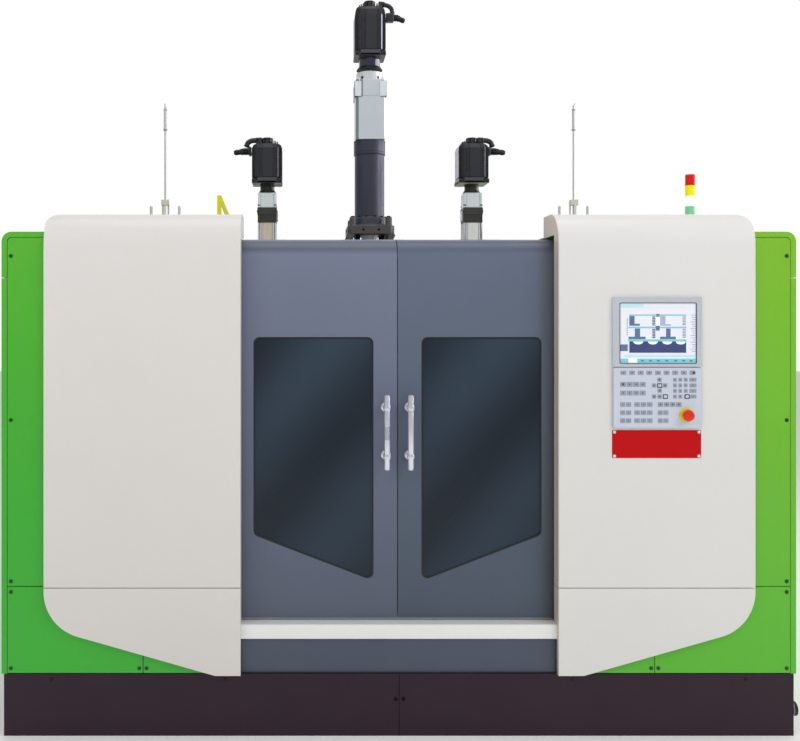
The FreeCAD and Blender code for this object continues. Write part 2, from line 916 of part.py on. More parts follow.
def rear_cover():
    """Green rear tray with rows of louvre slots."""
    edge = half_width - size("return_width") - 2
    top = roof - size("return_width") - 2
    depth = size("panel_depth")
    body = new_body("RearTray")
    raised = pad(body, "XZ_Plane", rectangle((-edge, edge), (plinth_top + 3, top)), depth)
    corner = size("roof_corner_radius") - size("return_width")
    rounded = fillet(body, raised, corner, {"x": -edge, "z": top}, {"x": edge, "z": top})
    shell(body, rounded, skin, {"y": -depth})
    place(body, 0, back)
    slots = []
    half = size("louvre_length") / 2
    for column in (-1, 0, 1):
        for row in range(8):
            low = size("louvre_bottom") + size("louvre_pitch") * row
            if row >= 4:
                low = low + size("louvre_break")
            middle = column * size("cabinet_width") * 0.3
            slot_x = (middle - half, middle + half)
            slot_z = (low, low + size("louvre_height"))
            slots.append(box("Louvre", slot_x, (back - depth, back + 1), slot_z))
    part("rear_cover", cut("RearCover", body, *slots))


def sill_and_kick():
    """Cream sill beam under the doors and the blue-grey kick panel below it."""
    reach = size("cover_inner")
    y = (front + size("sill_inset"), front + size("sill_inset") + size("sill_depth"))
    z = (size("sill_bottom"), size("sill_top"))
    wall = size("sill_wall")
    body = new_body("SillBody")
    outline = [(y[0], z[0]), (y[1], z[0]), (y[1], z[1]), (y[0], z[1])]
    raised = pad(body, "YZ_Plane", outline, reach * 2)
    fillet(body, raised, size("sill_edge_radius"), {"y": y[0], "z": z[1]}, {"y": y[0], "z": z[0]})
    place(body, -reach)
    hollow = box(
        "SillHollow",
        (-reach + wall, reach - wall),
        (y[0] + wall, y[1] - wall),
        (z[0] + wall, z[1] - wall),
    )
    part("sill_beam", cut("SillBeam", body, hollow))
    kick_front = front + size("kick_inset")
    outer = box(
        "KickOuter", (-reach, reach), (kick_front, kick_front + size("panel_depth")), (plinth_top, z[0])
    )
    inner = box(
        "KickInner",
        (-reach + skin, reach - skin),
        (kick_front + skin, kick_front + size("panel_depth") + 1),
        (plinth_top + skin, z[0] - skin),
    )
    part("kick_panel", cut("KickPanel", outer, inner))


# ---------------------------------------------------------------- sliding doors


def window_outline(side, grow):
    """The window's slanted outline, larger by grow on each side."""
    inner = size("window_inner") - grow
    outer = size("window_outer") + grow
    return [
        (side * inner, size("window_top") + grow),
        (side * inner, size("window_inner_bottom") - grow),
        (side * outer, size("window_outer_bottom") - grow),
        (side * outer, size("window_top") + grow),
    ]


def window_prism(name, side, grow, length, at_y):
    """The window's outline with round corners, raised to the rear by length."""
    body = new_body(name)
    outline = window_outline(side, grow)
    raised = pad(body, "XZ_Plane", outline, length, reverse=True)
    corners = [{"x": u, "z": v} for u, v in outline]
    fillet(body, raised, size("window_corner") + grow, *corners)
    return place(body, 0, at_y)


rail_y = (lintel_front - size("rail_thickness"), lintel_front)
rail_z = (size("rail_bottom"), size("rail_bottom") + size("rail_height"))
guide_y = (door_front + 15, door_front + 15 + size("guide_thickness"))
guide_top = size("sill_top") + size("guide_depth")


def door_tracks():
    """Top rail on the lintel and bottom guide bar on the sill."""
    reach = half_width - size("rail_end_gap")
    rail = box("DoorRail", (-reach, reach), rail_y, rail_z)
    guide = box("DoorGuide", (-reach, reach), guide_y, (size("sill_top"), guide_top))
    part("door_tracks", group("TrackParts", rail, guide))


def hanger(name, x):
    """Arm and guide block that hang a door on the top rail."""
    half = size("hanger_width") / 2
    clear = size("block_clearance")
    wrap = 20
    block = box(
        f"{name}Block",
        (x - half, x + half),
        (rail_y[0] - wrap, rail_y[1] - 8),
        (rail_z[0] - wrap, rail_z[1] + wrap),
    )
    channel = box(
        f"{name}Channel",
        (x - half - 1, x + half + 1),
        (rail_y[0] - clear, rail_y[1]),
        (rail_z[0] - clear, rail_z[1] + clear),
    )
    arm = box(
        f"{name}Arm",
        (x - half, x + half),
        (door_front + skin, rail_y[0] - wrap),
        (rail_z[1] - 8, rail_z[1] + 4),
    )
    return [cut(f"{name}Guide", block, channel), arm]


def door(side_name, side):
    """Blue-grey door: folded sheet with a rolled top, hung on two blocks, with its window."""
    name = f"Door_{side_name}"
    inner = side * size("door_middle_gap") / 2
    outer = side * size("door_outer")
    body = new_body(name)
    y = door_front
    z = (size("door_bottom"), size("door_top"))
    step = z[1] - size("door_roll_height")
    outline = [
        (y, z[0]),
        (y + size("door_depth"), z[0]),
        (y + size("door_depth"), step),
        (y + size("door_roll_depth"), step),
        (y + size("door_roll_depth"), z[1]),
        (y, z[1]),
    ]
    raised = pad(body, "YZ_Plane", outline, size("door_outer") - size("door_middle_gap") / 2)
    rounded = fillet(body, raised, size("door_roll_radius"), {"y": y, "z": z[1]})
    shell(
        body,
        rounded,
        skin,
        {"y": y + size("door_depth")},
        {"z": step},
        {"y": y + size("door_roll_depth")},
    )
    place(body, inner if side > 0 else outer)
    hole = window_prism(f"{name}WindowHole", side, as_size(0), skin + 2, door_front - 1)
    clear = size("guide_clearance")
    slot = box(
        f"{name}GuideSlot",
        (inner - side * 1, outer + side * 1),
        (guide_y[0] - clear, guide_y[1] + clear),
        (z[0] - 1, guide_top + clear),
    )
    panel = cut(f"{name}Sheet", body, hole, slot)
    hangers = []
    for i, offset in enumerate((90, -90)):
        middle = (side * 90) if i == 0 else (outer + side * offset)
        hangers += hanger(f"{name}Hanger{i}", middle)
    part(f"{side_name}_door_panel", fuse(f"{name}Parts", panel, *hangers))

    pane_y = door_front + skin
    pane = window_prism(f"Pane_{side_name}", side, size("pane_lap"), size("pane_thickness"), pane_y)
    part(f"{side_name}_door_window", pane)


def door_handle(side_name, side):
    """Round bar handle on two standoffs with rosettes."""
    name = f"Handle_{side_name}"
    x = side * size("handle_offset")
    middle = size("handle_height")
    reach = size("handle_reach")
    half = size("handle_length") / 2
    bar_y = door_front - reach
    solids = [
        upright(f"{name}Bar", size("handle_diameter"), (middle - half, middle + half), x, bar_y)
    ]
    for i, sign in enumerate((-1, 1)):
        z = middle + size("handle_spacing") / 2 * sign
        stem = size("handle_diameter") * 0.7
        solids.append(bar(f"{name}Stem{i}", "y", reach, stem, x, bar_y, z))
        rosette = size("rosette_thickness")
        solids.append(
            bar(f"{name}Rosette{i}", "y", rosette, size("rosette_diameter"), x, door_front - rosette, z)
        )
    part(f"{side_name}_door_handle", fuse(f"{name}Parts", *solids))


# ---------------------------------------------------------------- shuttle clamps

bed_top = size("bed_height")
carriage_top = bed_top + 50 + size("carriage_thickness")
clamp_rail_top = carriage_top + size("clamp_rail_height")
rack_y = (
    -size("platen_half_depth") - size("rack_gap") - size("gear_width"),
    -size("platen_half_depth") - size("rack_gap"),
)
pitch_radius = size("gear_module") * size("gear_teeth") / 2


def clamp_middle(side):
    """Where a clamp stands at rest: the left one at its blow head, the right one in the middle."""
    return -pitch if side < 0 else as_size(0)


def carriage(side_name, side):
    """Base plate on four shoes, with the clamp's two rails and the bracket of the gear."""
    name = f"Carriage_{side_name}"
    middle = clamp_middle(side)
    x = (middle - side * size("carriage_inner"), middle + side * size("carriage_outer"))
    depth = size("carriage_half_depth")
    plate_z = (bed_top + 50, carriage_top)
    solids = [box(f"{name}Plate", x, (-depth, depth), plate_z)]
    clear = size("carriage_clearance")
    rail_half = size("shuttle_rail_width") / 2 + clear
    shoe_half = size("shoe_width") / 2
    for i, (end, step) in enumerate(((x[0], 1), (x[1], -1))):
        shoe_x = (end + side * step * 40, end + side * step * (40 + size("shoe_length")))
        for j, row in enumerate((-1, 1)):
            rail = row * size("shuttle_rail_offset")
            shoe = box(
                f"{name}Shoe{i}{j}",
                shoe_x,
                (rail - shoe_half, rail + shoe_half),
                (bed_top + 10, bed_top + 50),
            )
            groove = box(
                f"{name}Groove{i}{j}",
                (x[0], x[1]),
                (rail - rail_half, rail + rail_half),
                (bed_top, bed_top + size("shuttle_rail_height") + clear),
            )
            solids.append(cut(f"{name}ShoeCut{i}{j}", shoe, groove))
    half = size("clamp_rail_width") / 2
    rail_x = (x[0], middle + side * size("clamp_rail_outer"))
    for j, row in enumerate((-1, 1)):
        rail = row * size("shuttle_rail_offset")
        solids.append(
            box(f"{name}Rail{j}", rail_x, (rail - half, rail + half), (carriage_top, clamp_rail_top))
        )
    bracket_half = size("bracket_width") / 2
    bracket_y = (rack_y[0] - 5 - size("bracket_thickness"), rack_y[0] - 5)
    gear_z = size("gear_height")
    solids.append(
        box(
            f"{name}Bracket",
            (middle - bracket_half, middle + bracket_half),
            bracket_y,
            (carriage_top, gear_z),
        )
    )
    boss = bar(
        f"{name}Boss", "y", size("bracket_thickness"), size("bracket_width"), middle, bracket_y[0], gear_z
    )
    pin = bar(
        f"{name}Pin", "y", size("gear_width") + 7, size("gear_pin"), middle, bracket_y[1], gear_z
    )
    part(f"{side_name}_carriage", fuse(f"{name}Parts", *solids, boss, pin))


def platen(name, x, bored):
    """Clamp plate with feet that straddle the clamp's rails; bored for the tie bars."""
    depth = size("platen_half_depth")
    solids = [box(f"{name}Plate", x, (-depth, depth), (size("platen_bottom"), size("platen_top")))]
    clear = size("carriage_clearance")
    half = size("clamp_rail_width") / 2 + clear
    for j, row in enumerate((-1, 1)):
        rail = row * size("shuttle_rail_offset")
        foot_y = (row * (size("shuttle_rail_offset") - 30), row * depth)
        foot = box(f"{name}Foot{j}", x, foot_y, (carriage_top + 3, size("platen_bottom")))
        groove = box(
            f"{name}Groove{j}",
            (x[0] - 60, x[1] + 60),
            (rail - half, rail + half),
            (carriage_top, clamp_rail_top + clear),
        )
        solids.append(cut(f"{name}FootCut{j}", foot, groove))
    plate = fuse(f"{name}Blank", *solids)
    if not bored:
        return plate
    bore = size("tie_diameter") + 2 * size("tie_clearance")
    low, high = in_order(*x)
    bores = [
        bar(f"{name}Bore{i}", "x", high - low + 2, bore, low - 1, y, z)
        for i, (y, z) in enumerate(tie_places())
    ]
    return cut(f"{name}Bored", plate, *bores)


def tie_places():
    """The four places (y, z) of the tie bars."""
    y = size("platen_half_depth") - size("tie_inset")
    low = size("platen_bottom") + size("tie_inset")
    high = size("platen_top") - size("tie_inset")
    return [(-y, low), (y, low), (-y, high), (y, high)]


def involute(radius, turn, lean):
    """A point of the involute of a base circle, unrolled by turn and leaning by the angle lean."""
    reach = radius * math.hypot(1, turn)
    angle = turn - math.atan(turn)
    return reach, lean - angle


def gear_face(module, teeth, backlash):
    """The outline of a spur gear in the xz plane, with a tooth that points up."""
    pressure = math.radians(20)
    pitch_circle = module * teeth / 2
    base = pitch_circle * math.cos(pressure)
    tip = pitch_circle + module
    root = pitch_circle - 1.25 * module
    half_tooth = (math.pi * module / 2 - backlash / 2) / 2 / pitch_circle
    lean = half_tooth + math.tan(pressure) - pressure
    last_turn = math.sqrt((tip / base) ** 2 - 1)
    flank = [(root, lean)]
    for step in range(4):
        flank.append(involute(base, last_turn * step / 3, lean))

    def point(reach, angle):
        return FreeCAD.Vector(reach * math.sin(angle), 0, reach * math.cos(angle))

    edges = []
    for tooth in range(teeth):
        middle = 2 * math.pi * tooth / teeth
        rising = [point(r, middle - a) for r, a in flank]
        falling = [point(r, middle + a) for r, a in reversed(flank)]
        crest = point(tip, middle)
        after = 2 * math.pi / teeth
        valley = point(root, middle + after / 2)
        next_foot = point(root, middle + after - flank[0][1])
        edges.append(Part.makePolygon(rising))
        edges.append(Part.Arc(rising[-1], crest, falling[0]).toShape())
        edges.append(Part.makePolygon(falling))
        edges.append(Part.Arc(falling[-1], valley, next_foot).toShape())
    lines = [edge for shape in edges for edge in shape.Edges]
    return Part.Face(Part.Wire(Part.sortEdges(lines)[0]))


def pinion(side_name, side):
    """Spur gear between the two racks of a clamp, on the carriage's pin."""
    width = size("gear_width").number
    face = gear_face(SIZES["gear_module"], int(SIZES["gear_teeth"]), SIZES["gear_backlash"])
    blank = face.extrude(FreeCAD.Vector(0, width, 0))
    bore_radius = size("gear_pin").number / 2 + slide.number
    bore = Part.makeCylinder(bore_radius, width + 2, FreeCAD.Vector(0, -1, 0), FreeCAD.Vector(0, 1, 0))
    gear = doc.addObject("Part::Feature", f"Pinion_{side_name}")
    gear.Shape = blank.cut(bore)
    middle = clamp_middle(side).number
    gear.Placement = FreeCAD.Placement(
        FreeCAD.Vector(middle, rack_y[0].number, size("gear_height").number), FreeCAD.Rotation()
    )
    part(f"{side_name}_pinion", gear)


def rack(name, middle, ends, up):
    """Straight rack in mesh with the pinion from below or above; up is 1 if its teeth point up."""
    module = size("gear_module")
    tooth_pitch = math.pi * module
    pitch_z = size("gear_height") - up * pitch_radius
    tip_z = pitch_z + up * module
    root_z = pitch_z - up * 1.25 * module
    back_z = root_z - up * size("rack_back")
    lean = math.tan(math.radians(20))
    half = tooth_pitch / 4 - size("gear_backlash") / 4
    body = new_body(name)
    low, high = in_order(*ends)
    length = size("gear_width")
    pad(body, "XZ_Plane", rectangle((low, high), (back_z, root_z)), length, reverse=True, name="Bar")
    tip_half = half - module * lean
    root_half = half + 1.25 * module * lean
    teeth_before = 7.5 if (middle - low).number > (high - middle).number else 0.5
    first = middle - tooth_pitch * teeth_before
    outline = [
        (first - root_half, root_z),
        (first - tip_half, tip_z),
        (first + tip_half, tip_z),
        (first + root_half, root_z),
    ]
    tooth = pad(body, "XZ_Plane", outline, length, reverse=True, name="Tooth")
    row = body.newObject("PartDesign::LinearPattern", f"{name}_Teeth")
    row.Originals = [tooth]
    axis = [f for f in body.Origin.OriginFeatures if f.Role == "X_Axis"][0]
    row.Direction = (axis, [""])
    row.Occurrences = 9
    bind(row, "Length", tooth_pitch * 8)
    body.Tip = row
    doc.recompute()
    return place(body, 0, rack_y[0])


def clamp_frame(side_name, side):
    """Inner platen, four tie bars, end plate and closing cylinder, with the lower rack."""
    name = f"ClampFrame_{side_name}"
    middle = clamp_middle(side)
    thick = size("platen_thickness")
    near = size("mould_half")
    far = size("end_plate_inner")
    near_x = (middle - side * (near + thick), middle - side * near)
    far_x = (middle + side * far, middle + side * (far + thick))
    nut = size("nut_thickness")
    solids = []
    bore = size("piston_rod") + 2 * size("tie_clearance")
    middle_z = (size("platen_bottom") + size("platen_top")) / 2
    outward = "x" if side > 0 else "-x"
    tie_length = 2 * nut + 2 * thick + near + far + 10
    for i, (y, z) in enumerate(tie_places()):
        start = near_x[0] - side * (nut + 5)
        solids.append(bar(f"{name}Tie{i}", outward, tie_length, size("tie_diameter"), start, y, z))
        for end, nut_x in (("Near", near_x[0] - side * nut), ("Far", far_x[1])):
            hexagon = doc.addObject("Part::Prism", f"{name}Nut{end}{i}")
            hexagon.Polygon = 6
            bind(hexagon, "Circumradius", size("nut_width") / 2)
            bind(hexagon, "Height", nut)
            hexagon.Placement = FreeCAD.Placement(FreeCAD.Vector(), AXIS_TURNS[outward])
            solids.append(place(hexagon, nut_x, y, z))
    flange = size("flange_thickness")
    tube_x = far_x[1]
    for label, length, diameter, start in (
        ("Flange", flange, size("cylinder_flange"), tube_x),
        ("Tube", size("cylinder_length") - flange, size("cylinder_diameter"), tube_x),
        ("Cap", flange, size("cylinder_diameter") + 16, tube_x + side * (size("cylinder_length") - flange)),
    ):
        solids.append(bar(f"{name}{label}", outward, length, diameter, start, 0, middle_z))
    far_plate = platen(f"{name}End", far_x, False)
    bore_length = thick + size("cylinder_length") - flange + 1
    bore_x = far_x[0] - side * 1
    rod_bore = bar(f"{name}RodBore", outward, bore_length, bore, bore_x, 0, middle_z)
    closing = cut(f"{name}Closing", fuse(f"{name}ClosingBlank", far_plate, *solids[-3:]), rod_bore)
    near_plate = platen(f"{name}Near", near_x, False)
    lower_z = size("gear_height") - pitch_radius - 1.25 * size("gear_module")
    pad_z = (lower_z - size("rack_back"), lower_z)
    spacer = box(
        f"{name}RackPad", near_x, (rack_y[1], -size("platen_half_depth")), pad_z
    )
    teeth = rack(f"{name}Rack", middle, (near_x[0], middle + side * size("rack_reach")), 1)
    part(f"{side_name}_clamp_frame", fuse(f"{name}Parts", closing, near_plate, spacer, teeth, *solids[:-3]))


def moving_platen(side_name, side):
    """Outer platen on the tie bars, with the piston rod and the upper rack."""
    name = f"Platen_{side_name}"
    middle = clamp_middle(side)
    near = size("mould_half")
    x = (middle + side * near, middle + side * (near + size("platen_thickness")))
    plate = platen(name, x, True)
    middle_z = (size("platen_bottom") + size("platen_top")) / 2
    outward = "x" if side > 0 else "-x"
    rod_length = size("end_plate_inner") + size("rod_lap") - near - size("platen_thickness")
    rod = bar(f"{name}Rod", outward, rod_length, size("piston_rod"), x[1], 0, middle_z)
    upper_z = size("gear_height") + pitch_radius + 1.25 * size("gear_module")
    pad_z = (upper_z, upper_z + size("rack_back"))
    spacer = box(f"{name}RackPad", x, (rack_y[1], -size("platen_half_depth")), pad_z)
    teeth = rack(f"{name}Rack", middle, (x[1], middle - side * size("rack_reach")), -1)
    part(f"{side_name}_platen", fuse(f"{name}Parts", plate, rod, spacer, teeth))


# ---------------------------------------------------------------- drives


def servo(name, x, bottom, width, height, facing):
    """Finned servo motor: flange, grooved housing, round cap and two bent connectors."""
    half = width / 2
    flange_top = bottom + size("motor_flange")
    cap = size("motor_cap_height")
    body_top = bottom + height - cap
    body = new_body(f"{name}Housing")
    raised = pad(body, "XY_Plane", rectangle((-half, half), (-half, half)), body_top - flange_top)
    corners = [{"x": sx * half, "y": sy * half} for sx in (-1, 1) for sy in (-1, 1)]
    chamfer(body, raised, width * 0.12, *corners)
    place(body, x, 0, flange_top)
    grooves = []
    gap = size("fin_gap")
    depth = size("fin_depth")
    spread = half * 0.36
    fins_top = body_top + 1
    fins_bottom = flange_top + 26
    for i, offset in enumerate((-spread * 2, -spread, spread, spread * 2)):
        for j, sign in enumerate((-1, 1)):
            wall = (sign * (half - depth), sign * (half + 1))
            strip = (offset - gap / 2, offset + gap / 2)
            grooves.append(
                box(f"{name}GrooveY{i}{j}", (x + strip[0], x + strip[1]), wall, (fins_bottom, fins_top))
            )
            grooves.append(
                box(f"{name}GrooveX{i}{j}", (x + wall[0], x + wall[1]), strip, (fins_bottom, fins_top))
            )
    housing = cut(f"{name}Finned", body, *grooves)
    flange = box(f"{name}Flange", (x - half, x + half), (-half, half), (bottom, flange_top))
    cap_bar = upright(f"{name}Cap", size("motor_cap_diameter"), (body_top, bottom + height), x)
    plug = size("connector_diameter")
    solids = [housing, flange, cap_bar]
    outward = "x" if facing > 0 else "-x"
    start = x + facing * (half - 12)
    high = body_top - plug * 0.7
    low = high - plug * 1.25
    solids.append(bar(f"{name}PlugHigh", outward, size("connector_reach") * 0.7 + 12, plug, start, 0, high))
    solids.append(bar(f"{name}PlugLow", outward, size("connector_reach") + 12, plug, start, 0, low))
    return fuse(f"{name}Parts", *solids)


def blow_unit(side_name, side):
    """Side drive stack on the crosshead, with the guide rods of the blow head below it."""
    name = f"BlowStack_{side_name}"
    x = side * pitch
    half = size("stack_width") / 2
    block = size("stack_block_width") / 2
    profile_top = size("stack_profile_top")
    block_top = size("stack_block_top")
    housing_top = size("stack_housing_top")
    solids = [
        box(f"{name}Profile", (x - half, x + half), (-half, half), (plate_top, profile_top)),
        box(f"{name}Block", (x - block, x + block), (-block, block), (profile_top, block_top)),
        box(f"{name}Housing", (x - half, x + half), (-half, half), (block_top, housing_top)),
        upright(f"{name}Neck", size("stack_neck"), (housing_top, size("motor_bottom")), x),
    ]
    for i, row in enumerate((-1, 1)):
        guide_y_place = row * size("blow_guide_offset")
        solids.append(
            upright(
                f"{name}Guide{i}",
                size("blow_guide"),
                (size("blow_plate_bottom") - size("blow_guide_drop"), crosshead_top),
                x,
                guide_y_place,
            )
        )
    bore_z = (plate_top - 1, housing_top - size("blow_rod_margin") / 2)
    for i in range(3):
        bore = upright(f"{name}Bore{i}", size("blow_rod") + 2 * slide, bore_z, x)
        solids[i] = cut(f"{name}Bored{i}", solids[i], bore)
    part(f"{side_name}_blow_cylinder", group(f"{name}Parts", *solids))
    motor = servo(
        f"BlowServo_{side_name}",
        x,
        size("motor_bottom"),
        size("motor_width"),
        size("motor_height") + size("motor_cap_height"),
        side,
    )
    part(f"{side_name}_blow_servo", motor)


def blow_head(side_name, side):
    """Rod, head plate that runs on the guide rods, and blow pins."""
    name = f"BlowHead_{side_name}"
    x = side * pitch
    low = size("blow_plate_bottom")
    high = low + size("blow_plate_thickness")
    half = size("blow_plate_width") / 2
    depth = size("blow_plate_depth") / 2
    plate = box(f"{name}Plate", (x - half, x + half), (-depth, depth), (low, high))
    bores = [
        upright(
            f"{name}Bore{i}",
            size("blow_guide") + 2 * slide,
            (low - 1, high + 1),
            x,
            row * size("blow_guide_offset"),
        )
        for i, row in enumerate((-1, 1))
    ]
    solids = [cut(f"{name}PlateBored", plate, *bores)]
    rod_top = size("stack_housing_top") - size("blow_rod_margin")
    solids.append(upright(f"{name}Rod", size("blow_rod"), (high, rod_top), x))
    for i, row in enumerate((-1, 1)):
        y = row * size("pin_spacing") / 2
        solids.append(upright(f"{name}Pin{i}", size("pin_diameter"), (size("pin_bottom"), low), x, y))
        holder = size("pin_diameter") * 1.8
        solids.append(upright(f"{name}Holder{i}", holder, (low - 70, low), x, y))
    part(f"{side_name}_blow_head", fuse(f"{name}Parts", *solids))


def trim_unit(side_name, side):
    """Small stand on the crosshead: three legs under the block that guides the spindle."""
    name = f"TrimUnit_{side_name}"
    x = side * trim_pitch
    half = size("trim_block_width") / 2
    leg = size("trim_leg_diameter")
    block = box(
        f"{name}Block",
        (x - half, x + half),
        (-half, half),
        (size("trim_leg_top"), size("trim_leg_top") + size("trim_block_height")),
    )
    bore = upright(
        f"{name}Bore",
        size("trim_spindle") + 2 * slide,
        (size("trim_leg_top") - 1, size("trim_leg_top") + size("trim_block_height") + 1),
        x,
    )
    solids = [cut(f"{name}BlockBored", block, bore)]
    inset = half - leg / 2
    for i, (dx, dy) in enumerate(((-inset, inset), (inset, inset), (as_size(0), -inset))):
        solids.append(upright(f"{name}Leg{i}", leg, (plate_top, size("trim_leg_top")), x + dx, dy))
    part(f"{side_name}_trim_unit", group(f"{name}Parts", *solids))


def trim_head(side_name, side):
    """Spindle and two guide posts with the trimming plate and its sleeves below."""
    name = f"TrimHead_{side_name}"
    x = side * trim_pitch
    low = size("trim_plate_bottom")
    high = low + size("trim_plate_thickness")
    half = size("trim_plate_width") / 2
    depth = size("trim_plate_depth") / 2
    solids = [
        box(f"{name}Plate", (x - half, x + half), (-depth, depth), (low, high)),
        upright(f"{name}Spindle", size("trim_spindle"), (high, size("trim_spindle_top")), x),
        upright(
            f"{name}Sleeve", size("trim_sleeve"), (size("trim_sleeve_bottom"), size("trim_sleeve_top")), x
        ),
    ]
    for i, row in enumerate((-1, 1)):
        post_x = x + row * size("trim_post_offset")
        solids.append(
            upright(f"{name}Post{i}", size("trim_post_diameter"), (high, size("trim_post_top")), post_x)
        )
        y = row * size("pin_spacing") / 2
        tool = size("trim_tool_diameter")
        solids.append(upright(f"{name}Tool{i}", tool, (size("trim_tool_bottom"), low), x, y))
    part(f"{side_name}_trim_head", fuse(f"{name}Parts", *solids))


def lift_stack():
    """Centre drive: bolted flange, ring, tube and collar, gear housing, and servo on a coupling."""
    half = size("lift_flange_width") / 2
    foot = new_body("LiftFoot")
    raised = pad(
        foot, "XY_Plane", rectangle((-half, half), (-half, half)), size("lift_flange_top") - plate_top
    )
    corners = [{"x": sx * half, "y": sy * half} for sx in (-1, 1) for sy in (-1, 1)]
    chamfer(foot, raised, half * 0.3, *corners)
    place(foot, 0, 0, plate_top)
    solids = [
        foot,
        upright("LiftRing", size("lift_ring_diameter"), (size("lift_flange_top"), size("lift_ring_top"))),
        upright("LiftTube", size("lift_tube_diameter"), (size("lift_ring_top"), size("lift_tube_top"))),
        upright("LiftCollar", size("lift_collar_diameter"), (size("lift_tube_top"), size("lift_collar_top"))),
    ]
    bore = upright("LiftBore", size("lift_rod") + 2 * slide, (plate_top - 1, size("lift_tube_top") - 120))
    part("lift_cylinder", cut("LiftCylinder", fuse("LiftBlank", *solids), bore))

    width = size("gear_housing_width") / 2
    top = size("gear_housing_top")
    housing = [
        box("GearHousing", (-width, width), (-width, width), (size("lift_collar_top"), top)),
        upright("Coupling", size("coupling_diameter"), (top, size("coupling_top"))),
    ]
    lug_top = top - size("lug_drop")
    lug_z = (lug_top - size("lug_height"), lug_top)
    reach = width + 8
    for i, (sx, sy) in enumerate(((-1, -1), (1, -1), (1, 1), (-1, 1))):
        lug_x = (sx * (width - 22), sx * reach)
        lug_y = (sy * (width - 22), sy * reach)
        housing.append(box(f"GearLug{i}", lug_x, lug_y, lug_z))
    part("lift_gear_housing", fuse("GearHousingParts", *housing))

    adapter = upright(
        "MotorAdapter", size("adapter_diameter"), (size("coupling_top"), size("lift_motor_bottom"))
    )
    motor = servo(
        "LiftServo",
        as_size(0),
        size("lift_motor_bottom"),
        size("lift_motor_width"),
        size("lift_motor_height") + size("motor_cap_height"),
        1,
    )
    part("lift_servo", fuse("LiftServoParts", adapter, motor))


# ---------------------------------------------------------------- extruder


